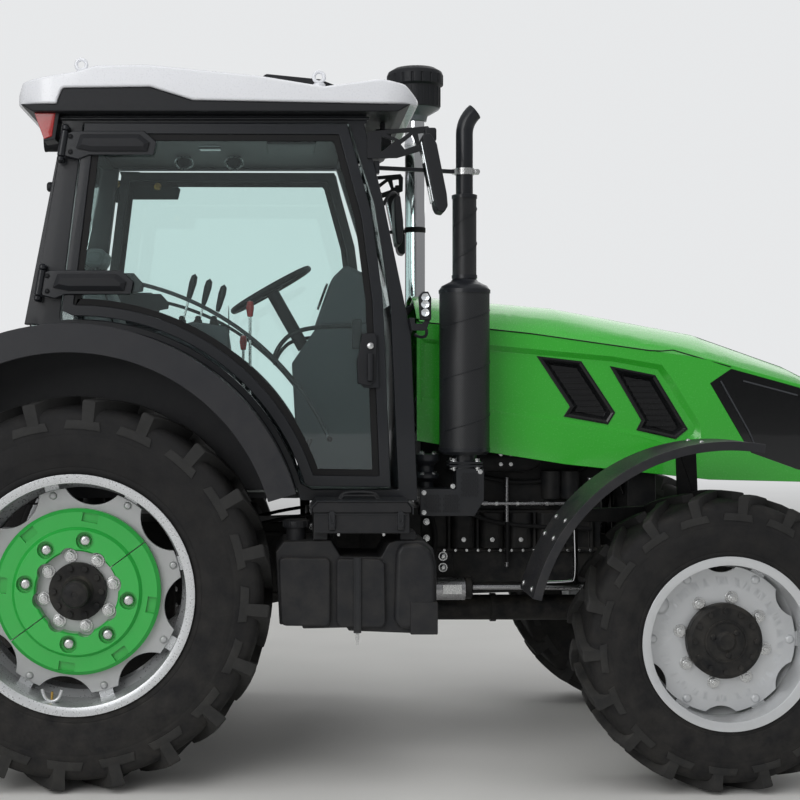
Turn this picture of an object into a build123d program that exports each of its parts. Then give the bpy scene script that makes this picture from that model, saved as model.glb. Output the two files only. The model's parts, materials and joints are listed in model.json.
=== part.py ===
from build123d import *
import math
import os

# Farm tractor with four driven wheels, a glazed cab and a rear three-point linkage.
# Millimetres. While it is modelled, x is measured forwards from the rear axle, y to the left
# from the centre line and z upwards from the ground. keep() then moves each finished piece so
# that the part's origin lies on the ground below the middle of its length.

# ------------------------------------------------------------------ driving sizes
WHEELBASE = 2470
REAR_TRACK = 1620
FRONT_TRACK = 1720

REAR_TYRE_R = 750
REAR_TYRE_WIDTH = 420
REAR_SEAT_R = 431.8
REAR_LUGS = 20
FRONT_TYRE_R = 568
FRONT_TYRE_WIDTH = 340
FRONT_SEAT_R = 304.8
FRONT_LUGS = 18
FLANGE_HEIGHT = 25.4
RIM_WALL = 9

KINGPIN_Y = 640
KINGPIN_R = 22
ARM_LENGTH = 150
FIT = 0.05
SEAT = 0.3

REAR_HUB_FACE = 850
FRONT_HUB_FACE = 900
DISC_THICK = 14

FENDER_X = -20
FENDER_Z = 880
FENDER_R = 895
FENDER_SHEET = 8
FENDER_OUT = 1032
FENDER_IN = 557
FENDER_LIP = 110
FENDER_START = 16.5
FENDER_END = 166

CAB_HALF = 708
CAB_IN = 640
DOOR_IN = 712
DOOR_OUT = 746
DOOR_BAR = 42
GLASS = 6
HINGE_Y = 760
HINGE_LOW = (-166, 1945)
HINGE_TOP = (-75, 2492)
HINGE_PIN_R = 9
REAR_WALL_SLOPE = 0.208
CAB_TOP = 2578
FLOOR_Z = 1085
PLATFORM_Z = 1225
FLOOR_TOP = FLOOR_Z + 25
PLATFORM_TOP = PLATFORM_Z + 30
ROOF_Z = 2612
HEADLINER_Z = 2585

HOOD_HALF = 400
HOOD_SHEET = 5
HOOD_REAR = 1345
HOOD_PIVOT = (1352, 1890)
HOOD_HINGE_Y = 150
HOOD_PIN_R = 7
HOOD_RECESS = 7

LINK_PIVOT = (-60, 500)
LINK_BALL = (-900, 240)
LIFT_PIVOT = (-150, 990)
LIFT_TIP = (-431.7, 838.3)
LINK_EYE = (-468.5, 382.9)
LINK_IN_Y = 250
LINK_OUT_Y = 412.5
LIFT_ARM_Y = 306
LIFT_ROD_Y = 356
TOP_LINK_PIVOT = (-262, 900)
PTO = (-190, 700)
SHAFT_START = 1190
SHAFT_Z = 566
DRAWBAR_Z = 420
DRAWBAR_END = -430

NOSE_END = 3250
TANK_IN = 560
BATTERY_IN = 380
MOUNT_R = 45
REAR_END = LINK_BALL[0] - 32
MIDDLE_X = (NOSE_END + REAR_END) / 2

# columns: x, lower edge, seam between side and top, crest, half width
HOOD = ((HOOD_REAR, 1311, 1804, 1933, HOOD_HALF), (1960, 1214, 1738, 1878, HOOD_HALF),
        (2560, 1150, 1650, 1765, HOOD_HALF), (2940, 1140, 1545, 1630, 380), (3180, 1150, 1450, 1510, 320),
        (NOSE_END, 1170, 1400, 1440, 250))

os.makedirs("parts", exist_ok=True)


def keep(piece, label):
    """Move a finished piece into the part's frame, name it and write it."""
    placed = piece.part.moved(Location((-MIDDLE_X, 0, 0)))
    placed.label = label
    export_step(placed, f"parts/{label}.step")


def keep_pair(piece, label, place=(0, 0, 0)):
    """Keep a right-hand piece and its left-hand mirror image."""
    right = piece.part.moved(Location((place[0] - MIDDLE_X, place[1], place[2])))
    right.label = f"{label}_right"
    export_step(right, f"parts/{right.label}.step")
    left = right.mirror(Plane.XZ)
    left.label = f"{label}_left"
    export_step(left, f"parts/{left.label}.step")


def polar(radius, degrees, x=0, z=0):
    """A point in the side view at a radius and an angle from a centre."""
    angle = math.radians(degrees)
    return (x + radius * math.cos(angle), z + radius * math.sin(angle))


def hood_crest(x):
    """Height of the hood's middle line."""
    for (x0, _, _, z0, _), (x1, _, _, z1, _) in zip(HOOD, HOOD[1:]):
        if x0 <= x <= x1:
            return z0 + (z1 - z0) * (x - x0) / (x1 - x0)


def post_front(z):
    """x of the windscreen post's front edge at a height."""
    for (x1, z1), (x0, z0) in zip(A_POST, A_POST[1:3]):
        if z0 <= z <= z1:
            return x0 + (x1 - x0) * (z - z0) / (z1 - z0)


A_POST = ((1110, 2578), (1189, 2258), (1296, 1743), (1320, FLOOR_Z + 45),
          (1245, FLOOR_Z + 45), (1214, 1862), (1150, 2258), (1050, 2578))


# ------------------------------------------------------------------ tyres
def tyre(radius, width, seat_r, lugs, lug_height, bar):
    """A faceted ring with two staggered rows of chevron lugs, about the Y axis."""
    half = width / 2
    base = radius - lug_height
    bead = half - 20
    # columns: distance from the wheel's middle plane, radius
    section = (
        (bead, seat_r + FLANGE_HEIGHT + 5),
        (half, seat_r + 0.46 * (radius - seat_r)),
        (half - 5, base - 0.22 * (radius - seat_r)),
        (0.74 * half, base),
    )
    rows = [(-y, r) for y, r in section] + [(y, r) for y, r in reversed(section)]
    # columns: lead along the tread, distance from the middle plane, for one bar's middle line
    spine = ((1.55 * bar, -0.05 * half), (-1.15 * bar, half - 2))
    spread = (0.46 * bar, 0.62 * bar)
    ahead = [(u + s, v) for (u, v), s in zip(spine, spread)]
    behind = [(u - s, v) for (u, v), s in zip(spine, spread)]
    top = math.sqrt(radius**2 - ahead[0][0] ** 2)
    with BuildPart() as lug:
        with BuildSketch(Plane.XY.offset(top)):
            Polygon(*ahead, *reversed(behind), align=None)
        extrude(amount=-2.4 * lug_height)
    pitch = 360 / lugs
    start = math.degrees(math.atan2(ahead[0][0], top))
    left_row = [Location((0, 0, 0), (0, 180 - start + k * pitch, 0)) for k in range(lugs)]
    other = lug.part.mirror(Plane.XZ)
    right_row = [Location((0, 0, 0), (0, 180 - start + (k + 0.5) * pitch, 0)) for k in range(lugs)]
    with BuildPart() as whole:
        for y, r in rows:
            with BuildSketch(Plane.XZ.offset(-y)):
                RegularPolygon(r, lugs)
        loft(ruled=True)
        with Locations(*left_row):
            add(lug.part)
        with Locations(*right_row):
            add(other)
        with BuildSketch(Plane.XZ.offset(-half)):
            RegularPolygon(seat_r + SEAT, lugs, major_radius=False)
        extrude(amount=width, mode=Mode.SUBTRACT)
    return whole


rear_place = (0, -REAR_TRACK / 2, REAR_TYRE_R)
front_place = (WHEELBASE, -FRONT_TRACK / 2, FRONT_TYRE_R)
rear_tyre = tyre(REAR_TYRE_R, REAR_TYRE_WIDTH, REAR_SEAT_R, REAR_LUGS, 42, 56)
keep_pair(rear_tyre, "rear_tyre", rear_place)
front_tyre = tyre(FRONT_TYRE_R, FRONT_TYRE_WIDTH, FRONT_SEAT_R, FRONT_LUGS, 36, 46)
keep_pair(front_tyre, "front_tyre", front_place)


# ------------------------------------------------------------------ rims
def rim(seat_r, tyre_width, well_depth, lugs, lug_at, lug_r, phase):
    """A drop-centre rim with mounting lugs for the disc, about the Y axis, outward to -Y."""
    flange = seat_r + FLANGE_HEIGHT
    bead = tyre_width / 2 - 20 + SEAT
    edge = bead + 15
    well = seat_r - well_depth
    inner = seat_r - RIM_WALL
    with BuildPart() as whole:
        with BuildSketch():
            with BuildLine():
                Polyline(
                    (flange, -edge), (flange, -edge + 6), (flange - 6, -bead), (seat_r, -bead),
                    (seat_r, 0), (well, 28), (well, 0.6 * bead),
                    (seat_r, 0.78 * bead), (seat_r, bead), (flange - 6, bead),
                    (flange, edge - 6), (flange, edge), (flange - 7, edge),
                    (inner, edge - 8), (inner, 0.78 * bead + 4), (well - RIM_WALL, 0.6 * bead + 4),
                    (well - RIM_WALL, 24), (inner, -4),
                    (inner, -edge + 8), (flange - 7, -edge), close=True,
                )
            make_face()
        revolve(axis=Axis.Y)
        with BuildSketch(Plane.XZ.offset(lug_at - 12)):
            with PolarLocations(lug_r, lugs, start_angle=phase):
                Rectangle(2.4 * (inner - lug_r), 56)
            Circle(inner + 2, mode=Mode.INTERSECT)
        extrude(amount=12)
        with Locations(Plane.XZ.offset(lug_at)):
            with PolarLocations(lug_r, lugs, start_angle=phase):
                Hole(9, depth=14)
    return whole


rear_disc_at = REAR_HUB_FACE - REAR_TRACK / 2
rear_rim = rim(REAR_SEAT_R, REAR_TYRE_WIDTH, 28, 8, rear_disc_at, 378, 15)
keep_pair(rear_rim, "rear_rim", rear_place)
front_disc_at = FRONT_HUB_FACE - 16 - FRONT_TRACK / 2
front_rim = rim(FRONT_SEAT_R, FRONT_TYRE_WIDTH, 22, 6, front_disc_at, 262, 0)
keep_pair(front_rim, "front_rim", front_place)

# ------------------------------------------------------------------ wheel discs
REAR_NUT_R = 137.5
with BuildPart() as rear_wheel_disc:
    with BuildSketch(Plane.XZ.offset(rear_disc_at)):
        Circle(398)
        with PolarLocations(463, 8, start_angle=37.5):
            Circle(128, mode=Mode.SUBTRACT)
        Circle(92, mode=Mode.SUBTRACT)
        with PolarLocations(REAR_NUT_R, 8, start_angle=12.5):
            Circle(11, mode=Mode.SUBTRACT)
        with PolarLocations(378, 8, start_angle=15):
            Circle(9, mode=Mode.SUBTRACT)
    extrude(amount=DISC_THICK)
keep_pair(rear_wheel_disc, "rear_wheel_disc", rear_place)

with BuildPart() as front_wheel_disc:
    with BuildSketch():
        with BuildLine():
            Polyline((100, -front_disc_at - 16), (200, -front_disc_at - 16),
                     (238, -front_disc_at), (284, -front_disc_at),
                     (284, -front_disc_at - 12), (244, -front_disc_at - 12),
                     (206, -front_disc_at - 28), (100, -front_disc_at - 28), close=True)
        make_face()
    revolve(axis=Axis.Y)
    with BuildSketch(Plane.XZ.offset(front_disc_at)):
        with PolarLocations(346, 6, start_angle=30):
            Circle(90)
    extrude(amount=40, mode=Mode.SUBTRACT)
    with Locations(Plane.XZ.offset(front_disc_at + 30)):
        with PolarLocations(165, 8, start_angle=33):
            Hole(11, depth=40)
        with PolarLocations(262, 6):
            Hole(9, depth=40)
keep_pair(front_wheel_disc, "front_wheel_disc", front_place)

# ------------------------------------------------------------------ wheel weights
WEIGHT_R = 320
WEIGHT_THICK = 62
weight_face = rear_disc_at + DISC_THICK
with BuildPart() as wheel_weight:
    with BuildSketch():
        with BuildLine():
            Polyline((158, -weight_face), (WEIGHT_R, -weight_face),
                     (WEIGHT_R, -weight_face - 34), (WEIGHT_R - 14, -weight_face - 46),
                     (250, -weight_face - 46), (238, -weight_face - WEIGHT_THICK),
                     (164, -weight_face - WEIGHT_THICK), (158, -weight_face - 54), close=True)
        make_face()
    revolve(axis=Axis.Y)
    with BuildSketch(Plane.XZ.offset(weight_face)):
        with PolarLocations(REAR_NUT_R, 8, start_angle=12.5):
            Circle(36)
    extrude(amount=WEIGHT_THICK, mode=Mode.SUBTRACT)
    with Locations(Plane.XZ.offset(weight_face + WEIGHT_THICK)):
        for angle in (36, 81, 126, 216, 261, 306):
            with PolarLocations(200, 1, start_angle=angle + 45):
                CounterBoreHole(9, 17, 22, depth=WEIGHT_THICK)
    with BuildSketch(Plane.XZ.offset(weight_face + 46)):
        for angle in (80, 130, 175, 262, 305, 350):
            with PolarLocations(288, 1, start_angle=angle):
                Rectangle(34, 62)
    extrude(amount=-14, mode=Mode.SUBTRACT)
    with BuildSketch(Plane.XZ.offset(weight_face)):
        Rectangle(2.2 * WEIGHT_R, 4, rotation=36.5)
    extrude(amount=WEIGHT_THICK, mode=Mode.SUBTRACT)
keep_pair(wheel_weight, "wheel_weight", rear_place)

# ------------------------------------------------------------------ hubs
with BuildPart() as rear_hub:
    with BuildSketch():
        with BuildLine():
            Polyline((0, -REAR_HUB_FACE + 85), (50, -REAR_HUB_FACE + 85), (50, -REAR_HUB_FACE + 14),
                     (168, -REAR_HUB_FACE + 14), (168, -REAR_HUB_FACE), (90, -REAR_HUB_FACE),
                     (90, -REAR_HUB_FACE - 22), (111, -REAR_HUB_FACE - 22),
                     (111, -REAR_HUB_FACE - 46), (62, -REAR_HUB_FACE - 46),
                     (52, -REAR_HUB_FACE - 60), (52, -REAR_HUB_FACE - 138),
                     (44, -REAR_HUB_FACE - 146), (0, -REAR_HUB_FACE - 146), close=True)
        make_face()
    revolve(axis=Axis.Y)
    with BuildSketch(Plane.XZ.offset(REAR_HUB_FACE + DISC_THICK)):
        with PolarLocations(REAR_NUT_R, 8, start_angle=12.5):
            RegularPolygon(17, 6)
    extrude(amount=22)
    with BuildSketch(Plane.XZ.offset(REAR_HUB_FACE)):
        with PolarLocations(REAR_NUT_R, 8, start_angle=12.5):
            Circle(10)
    extrude(amount=DISC_THICK + 30)
    with BuildSketch(Plane.XZ.offset(REAR_HUB_FACE + 46)):
        with PolarLocations(92, 10):
            RegularPolygon(10, 6)
    extrude(amount=9)
keep_pair(rear_hub, "rear_hub", (0, 0, REAR_TYRE_R))

front_back = FRONT_HUB_FACE
with BuildPart() as front_hub:
    with BuildSketch():
        with BuildLine():
            Polyline((0, -front_back + 96), (150, -front_back + 96), (158, -front_back + 60),
                     (158, -front_back + 22), (192, -front_back + 22), (192, -front_back),
                     (99, -front_back), (99, -front_back - 14), (143, -front_back - 14),
                     (143, -front_back - 52), (128, -front_back - 62),
                     (40, -front_back - 66), (28, -front_back - 78), (0, -front_back - 78),
                     close=True)
        make_face()
    revolve(axis=Axis.Y)
    with BuildSketch(Plane.XZ.offset(FRONT_HUB_FACE + 12)):
        with PolarLocations(165, 8, start_angle=33):
            RegularPolygon(16, 6)
    extrude(amount=20)
    with BuildSketch(Plane.XZ.offset(FRONT_HUB_FACE)):
        with PolarLocations(165, 8, start_angle=33):
            Circle(10)
    extrude(amount=DISC_THICK + 26)
    with BuildSketch(Plane.XZ.offset(FRONT_HUB_FACE + 58)):
        with PolarLocations(116, 12):
            Circle(8)
    extrude(amount=10)
    with Locations((0, -FRONT_HUB_FACE + 96, 0)):
        Cylinder(46 + FIT, 60, rotation=(90, 0, 0), mode=Mode.SUBTRACT)
keep_pair(front_hub, "front_hub", (WHEELBASE, 0, FRONT_TYRE_R))

# ------------------------------------------------------------------ knuckles
EAR_IN = 80
EAR_OUT = 106
KNUCKLE_R = 70
SPINDLE_END = FRONT_HUB_FACE - 96
POST_Y = 664
POST_THICK = 16
FRONT_FENDER_R = 757
with BuildPart() as knuckle:
    with Locations((WHEELBASE, -KINGPIN_Y, FRONT_TYRE_R)):
        Cylinder(58, 2 * (EAR_IN - SEAT))
        Cylinder(KINGPIN_R, 2 * (EAR_OUT + 12))
    with BuildSketch(Plane.XZ.offset(KINGPIN_Y)):
        with Locations((WHEELBASE, FRONT_TYRE_R)):
            Circle(KNUCKLE_R)
    extrude(amount=60)
    with BuildSketch(Plane.XZ.offset(KINGPIN_Y + 60)):
        with Locations((WHEELBASE, FRONT_TYRE_R)):
            Circle(KNUCKLE_R)
    with BuildSketch(Plane.XZ.offset(SPINDLE_END - SEAT)):
        with Locations((WHEELBASE, FRONT_TYRE_R)):
            Circle(120)
    loft()
    with BuildSketch(Plane.XZ.offset(SPINDLE_END - 20)):
        with Locations((WHEELBASE, FRONT_TYRE_R)):
            Circle(46)
    extrude(amount=48)
    # steering arm on the upper kingpin
    with BuildSketch(Plane.XY.offset(FRONT_TYRE_R + EAR_OUT + SEAT)):
        with Locations((WHEELBASE - ARM_LENGTH, -KINGPIN_Y)):
            Circle(30)
        with Locations((WHEELBASE, -KINGPIN_Y)):
            Circle(48)
        with Locations((WHEELBASE - ARM_LENGTH / 2, -KINGPIN_Y)):
            Rectangle(ARM_LENGTH, 52)
    extrude(amount=24)
    # post that carries the mudguard over the tyre
    with BuildSketch(Plane.XZ.offset(POST_Y)):
        Polygon((WHEELBASE - 118, FRONT_TYRE_R + EAR_OUT + SEAT), (WHEELBASE + 30, FRONT_TYRE_R + EAR_OUT + SEAT),
                (WHEELBASE - 30, FRONT_TYRE_R + 500), (WHEELBASE - 40, FRONT_TYRE_R + FRONT_FENDER_R - 6),
                (WHEELBASE - 120, FRONT_TYRE_R + FRONT_FENDER_R - 16), (WHEELBASE - 112, FRONT_TYRE_R + 500),
                align=None)
    extrude(amount=POST_THICK)
    with BuildSketch(Plane.XZ.offset(POST_Y)):
        Polygon((WHEELBASE - 112, FRONT_TYRE_R + 500), (WHEELBASE - 112, FRONT_TYRE_R + 430),
                (WHEELBASE - 560, FRONT_TYRE_R + 430), (WHEELBASE - 602, FRONT_TYRE_R + 446),
                (WHEELBASE - 585, FRONT_TYRE_R + 478), align=None)
    extrude(amount=POST_THICK)
    # strips under the mudguard, reaching out from the post
    for angle in (95, 141, 162.8):
        with BuildSketch(Plane.XZ.offset(POST_Y)):
            with BuildLine():
                CenterArc((WHEELBASE, FRONT_TYRE_R), FRONT_FENDER_R - SEAT, angle, 4)
                CenterArc((WHEELBASE, FRONT_TYRE_R), FRONT_FENDER_R - SEAT - 10, angle, 4)
                Line(polar(FRONT_FENDER_R - SEAT, angle, WHEELBASE, FRONT_TYRE_R),
                     polar(FRONT_FENDER_R - SEAT - 10, angle, WHEELBASE, FRONT_TYRE_R))
                Line(polar(FRONT_FENDER_R - SEAT, angle + 4, WHEELBASE, FRONT_TYRE_R),
                     polar(FRONT_FENDER_R - SEAT - 10, angle + 4, WHEELBASE, FRONT_TYRE_R))
            make_face()
        extrude(amount=320)
    # bright stay from the arm down to the rear strip
    with Locations((WHEELBASE - 517, -POST_Y - 8, FRONT_TYRE_R + 312)):
        Cylinder(7, 264)
    with Locations((WHEELBASE - 620, -POST_Y - 8, FRONT_TYRE_R + 187)):
        Cylinder(7, 220, rotation=(0, 90, 0))
keep_pair(knuckle, "knuckle")


# ------------------------------------------------------------------ mudguards
def band(x, z, radius, thick, start, sweep):
    """Side-view outline of a curved sheet about a centre."""
    with BuildSketch(Plane.XZ) as outline:
        with BuildLine():
            CenterArc((x, z), radius, start, sweep)
            CenterArc((x, z), radius - thick, start, sweep)
            for angle in (start, start + sweep):
                Line(polar(radius, angle, x, z), polar(radius - thick, angle, x, z))
        make_face()
    return outline.sketch


FRONT_FENDER_IN = 715
FRONT_FENDER_OUT = 1034
with BuildPart() as front_fender:
    for radius, thick, near, far in ((FRONT_FENDER_R + 6, 6, FRONT_FENDER_IN, FRONT_FENDER_OUT),
                                     (FRONT_FENDER_R + 6, 34, FRONT_FENDER_OUT - 6, FRONT_FENDER_OUT)):
        sheet = band(WHEELBASE, FRONT_TYRE_R, radius, thick, 80, 87)
        extrude(sheet.moved(Location((0, -near, 0))), amount=far - near)
keep_pair(front_fender, "front_fender")

with BuildPart() as rear_fenders:
    sweep = FENDER_END - FENDER_START
    for thick, near, far in ((FENDER_SHEET, FENDER_IN, FENDER_OUT), (FENDER_LIP, FENDER_OUT - 8, FENDER_OUT)):
        sheet = band(FENDER_X, FENDER_Z, FENDER_R, thick, FENDER_START, sweep)
        extrude(sheet.moved(Location((0, -near, 0))), amount=far - near)
    # wall between the wheel and the cab
    with BuildSketch(Plane.XZ.offset(FENDER_IN)):
        with Locations((FENDER_X, FENDER_Z)):
            Circle(FENDER_R)
        with Locations((FENDER_X, FLOOR_Z - 600)):
            Rectangle(3000, 1200, mode=Mode.SUBTRACT)
    extrude(amount=FENDER_SHEET)
    mirror(about=Plane.XZ)
keep(rear_fenders, "rear_fenders")

# ------------------------------------------------------------------ transmission
with BuildPart() as transmission:
    # columns: outline in the side view, half width
    for outline, half in (
        (((-190, 540), (-190, 900), (-150, 960), (330, 960), (330, 560), (200, 470), (-120, 470)), 220),
        (((-220, 900), (-220, 1040), (120, 1040), (160, 900)), 170),
        (((320, 600), (320, 940), (900, 960), (900, 640), (700, 600)), 190),
        (((890, 620), (890, 1000), (1380, 1020), (1380, 640)), 215),
    ):
        with BuildSketch(Plane.XZ.offset(-half)):
            Polygon(*outline, align=None)
        extrude(amount=2 * half)
    with BuildSketch(Plane.XY):
        with BuildLine():
            Polyline((0, 0), (160, 0), (160, -300), (122, -420), (108, -700), (140, -720),
                     (140, -800), (0, -800), close=True)
        make_face()
    trumpet = revolve(axis=Axis.Y, mode=Mode.PRIVATE)
    add(trumpet.moved(Location((0, 0, REAR_TYRE_R))))
    add(trumpet.moved(Location((0, 0, REAR_TYRE_R))).mirror(Plane.XZ))
    with Locations((0, 0, REAR_TYRE_R)):
        Cylinder(50 + FIT, 2 * 820, rotation=(90, 0, 0), mode=Mode.SUBTRACT)
    with Locations((LIFT_PIVOT[0], 0, LIFT_PIVOT[1])):
        Cylinder(50, 2 * (LIFT_ARM_Y - SEAT), rotation=(90, 0, 0))
        Cylinder(34 + FIT, 2 * (LIFT_ARM_Y + 4), rotation=(90, 0, 0), mode=Mode.SUBTRACT)
    # shaft stub bore and the ears of the lower links
    with Locations((PTO[0] - 12, 0, PTO[1])):
        Cylinder(52, 60, rotation=(0, 90, 0))
        Cylinder(24 + FIT, 120, rotation=(0, 90, 0), mode=Mode.SUBTRACT)
    with BuildSketch(Plane.XZ.offset(LINK_IN_Y - 44 - SEAT)):
        Polygon((LINK_PIVOT[0] - 45, LINK_PIVOT[1] - 40), (LINK_PIVOT[0] - 45, 620), (40, 620), (60, 470),
                align=None)
    ears = extrude(amount=30)
    mirror(ears, about=Plane.XZ)
    with Locations((LINK_PIVOT[0], 0, LINK_PIVOT[1])):
        Cylinder(16, 2 * (LINK_IN_Y + 28), rotation=(90, 0, 0))
    # cab mounts, and the beams that carry the fuel tank and the battery box
    for x, y, base, top in ((0, 350, REAR_TYRE_R, PLATFORM_Z), (1150, 160, 960, FLOOR_Z)):
        with BuildSketch(Plane.XY.offset(base)):
            with Locations((x, y), (x, -y)):
                Circle(MOUNT_R)
        extrude(amount=top - SEAT - base)
    for x in (930, 1280):
        with Locations((x, (BATTERY_IN - TANK_IN) / 2, 730)):
            Box(60, TANK_IN + BATTERY_IN - 2 * SEAT, 60)
    # rear bearing of the drive shaft tube
    with BuildSketch(Plane.YZ.offset(1130)):
        with Locations((0, SHAFT_Z)):
            Circle(80)
        with Locations((0, 640)):
            Rectangle(120, 160)
    extrude(amount=SHAFT_START - SEAT - 1130)
    # guard over the power take-off
    with BuildSketch(Plane.YZ.offset(PTO[0] - 130)):
        with Locations((0, PTO[1] + 20)):
            Rectangle(236, 190)
        with Locations((0, PTO[1] + 10)):
            Rectangle(220, 194, mode=Mode.SUBTRACT)
    extrude(amount=132)
    # ears of the top link
    with BuildSketch(Plane.XZ.offset(38)):
        Polygon((TOP_LINK_PIVOT[0] - 34, TOP_LINK_PIVOT[1] - 34), (TOP_LINK_PIVOT[0] - 34, TOP_LINK_PIVOT[1] + 34),
                (-180, TOP_LINK_PIVOT[1] + 60), (-180, TOP_LINK_PIVOT[1] - 60), align=None)
    lug = extrude(amount=16)
    mirror(lug, about=Plane.XZ)
    with Locations((TOP_LINK_PIVOT[0], 0, TOP_LINK_PIVOT[1])):
        Cylinder(12.5, 120, rotation=(90, 0, 0))
keep(transmission, "transmission")

# ------------------------------------------------------------------ engine
ENGINE_HALF = 185
with BuildPart() as engine:
    for outline, half in (
        (((1380, 700), (1380, 1330), (1500, 1400), (2120, 1360), (2150, 1300), (2150, 700)), ENGINE_HALF),
        (((1420, 640), (1420, 700), (2100, 700), (2100, 660)), 150),
        (((1480, 1330), (1480, 1600), (2060, 1560), (2060, 1330)), 150),
        (((2240, 853.6), (2240, 1560), (2360, 1540), (2360, 848.2), (2300, 850.3)), 300),
        (((2262, 1500), (2262, hood_crest(2262) - HOOD_SHEET - 2 * SEAT),
          (2302, hood_crest(2302) - HOOD_SHEET - 2 * SEAT), (2302, 1500)), 18),
        (((2150, 780), (2150, 900), (2206, 900), (2206, 780)), 120),
    ):
        with BuildSketch(Plane.XZ.offset(-half)):
            Polygon(*outline, align=None)
        extrude(amount=2 * half)
    # bulged water jacket and ribbed sump flange on both sides
    with BuildSketch(Plane.XY.offset(846)):
        with Locations(*[(1560 + 122 * k, -ENGINE_HALF) for k in range(4)]):
            RectangleRounded(100, 70, 30)
    bulges = extrude(amount=152)
    mirror(bulges, about=Plane.XZ)
    with BuildSketch(Plane.XZ.offset(ENGINE_HALF - 1)):
        with Locations((1765, 838)):
            Rectangle(740, 14)
        with Locations((1765, 1004)):
            Rectangle(740, 12)
        with Locations(*[(1499 + 122 * k, 925) for k in range(6)]):
            Rectangle(14, 160)
    ribs = extrude(amount=24)
    mirror(ribs, about=Plane.XZ)
keep(engine, "engine")

with BuildPart() as engine_pipes:
    # fuel pipe on its stand-offs
    for side in (-1, 1):
        with Locations((1832, side * 240, 1040)):
            Cylinder(8, 470, rotation=(0, 90, 0))
        with Locations(*[(x, side * (ENGINE_HALF + SEAT + 30), 1040) for x in (1650, 1850, 2040)]):
            Box(18, 60, 14)
    # dipstick tube
    with Locations((1742, -228, 960)):
        Cylinder(8, 380)
    with Locations((1742, -(ENGINE_HALF + SEAT + 21), 1120)):
        Box(14, 42, 14)
    # canister with its bright rod
    with Locations((1488, -300, 684)):
        Cylinder(46, 134, rotation=(0, 90, 0))
    with Locations((1572, -300, 690)):
        Cylinder(30, 12, rotation=(0, 90, 0))
    with Locations((1830, -300, 692)):
        Cylinder(11, 580, rotation=(0, 90, 0))
    with Locations((1846, -300, 692)):
        Cylinder(20, 18, rotation=(0, 90, 0))
    for x in (1488, 2100):
        with Locations((x, -(ENGINE_HALF + SEAT + 58), 712)):
            Box(50, 116, 20)
keep(engine_pipes, "engine_pipes")

# ------------------------------------------------------------------ front frame and axle
ENGINE_FRONT = 2150
TOW_X = NOSE_END - 36
with BuildPart() as front_frame:
    with BuildSketch(Plane.XZ.offset(140)):
        Polygon((ENGINE_FRONT, 765), (ENGINE_FRONT, 858), (2300, 850), (3150, 820), (3150, 640),
                (2760, 640), (2700, 765), align=None)
    rail = extrude(amount=50)
    mirror(rail, about=Plane.XZ)
    for near, far in ((WHEELBASE - 262, WHEELBASE - 202), (WHEELBASE + 130, WHEELBASE + 190)):
        with BuildSketch(Plane.YZ.offset(near)):
            Polygon((-150, 850), (150, 850), (110, FRONT_TYRE_R - 90), (-110, FRONT_TYRE_R - 90), align=None)
        extrude(amount=far - near)
    with Locations((WHEELBASE - 232, 0, FRONT_TYRE_R)):
        Cylinder(62 + SEAT, 70, rotation=(0, 90, 0), mode=Mode.SUBTRACT)
    with Locations((WHEELBASE + 160, 0, FRONT_TYRE_R)):
        Cylinder(38 + SEAT, 70, rotation=(0, 90, 0), mode=Mode.SUBTRACT)
    with Locations((3162, 0, 730)):
        Box(24, 420, 190)
    with BuildSketch(Plane.XZ.offset(-60)):
        Polygon((3170, 660), (3170, 800), (3184, 780), (NOSE_END - 12, 780), (NOSE_END - 12, 680), (3184, 680), align=None)
    extrude(amount=120)
    with Locations((TOW_X, 0, 730)):
        Cylinder(16, 300, mode=Mode.SUBTRACT)
        Box(70, 140, 60, mode=Mode.SUBTRACT)
keep(front_frame, "front_frame")

with BuildPart() as front_axle:
    with BuildSketch(Plane.XY):
        with BuildLine():
            Polyline((0, 0), (112, 0), (104, -60), (66, -150), (58, -560), (62, -600), (0, -600), close=True)
        make_face()
    beam = revolve(axis=Axis.Y, mode=Mode.PRIVATE)
    add(beam.moved(Location((WHEELBASE, 0, FRONT_TYRE_R))))
    with Locations((WHEELBASE - 30, 0, FRONT_TYRE_R)):
        with Locations((-125, 0, 0)):
            Cylinder(62, 250, rotation=(0, 90, 0))
        with Locations((130, 0, 0)):
            Cylinder(38, 200, rotation=(0, 90, 0))
    with BuildSketch(Plane.XZ.offset(560)):
        with Locations((WHEELBASE, FRONT_TYRE_R)):
            Rectangle(96, 2 * EAR_OUT)
    extrude(amount=46)
    for z in (FRONT_TYRE_R + EAR_IN, FRONT_TYRE_R - EAR_OUT):
        with BuildSketch(Plane.XY.offset(z)):
            with Locations((WHEELBASE, -KINGPIN_Y)):
                Circle(44)
            with Locations((WHEELBASE, -KINGPIN_Y + 40)):
                Rectangle(88, 80)
        extrude(amount=EAR_OUT - EAR_IN)
    with Locations((WHEELBASE, -KINGPIN_Y, FRONT_TYRE_R)):
        Cylinder(KNUCKLE_R + 6, 2 * EAR_IN, mode=Mode.SUBTRACT)
        Cylinder(KINGPIN_R + FIT, 2 * EAR_OUT + 20, mode=Mode.SUBTRACT)
    mirror(about=Plane.XZ)
keep(front_axle, "front_axle")

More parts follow.
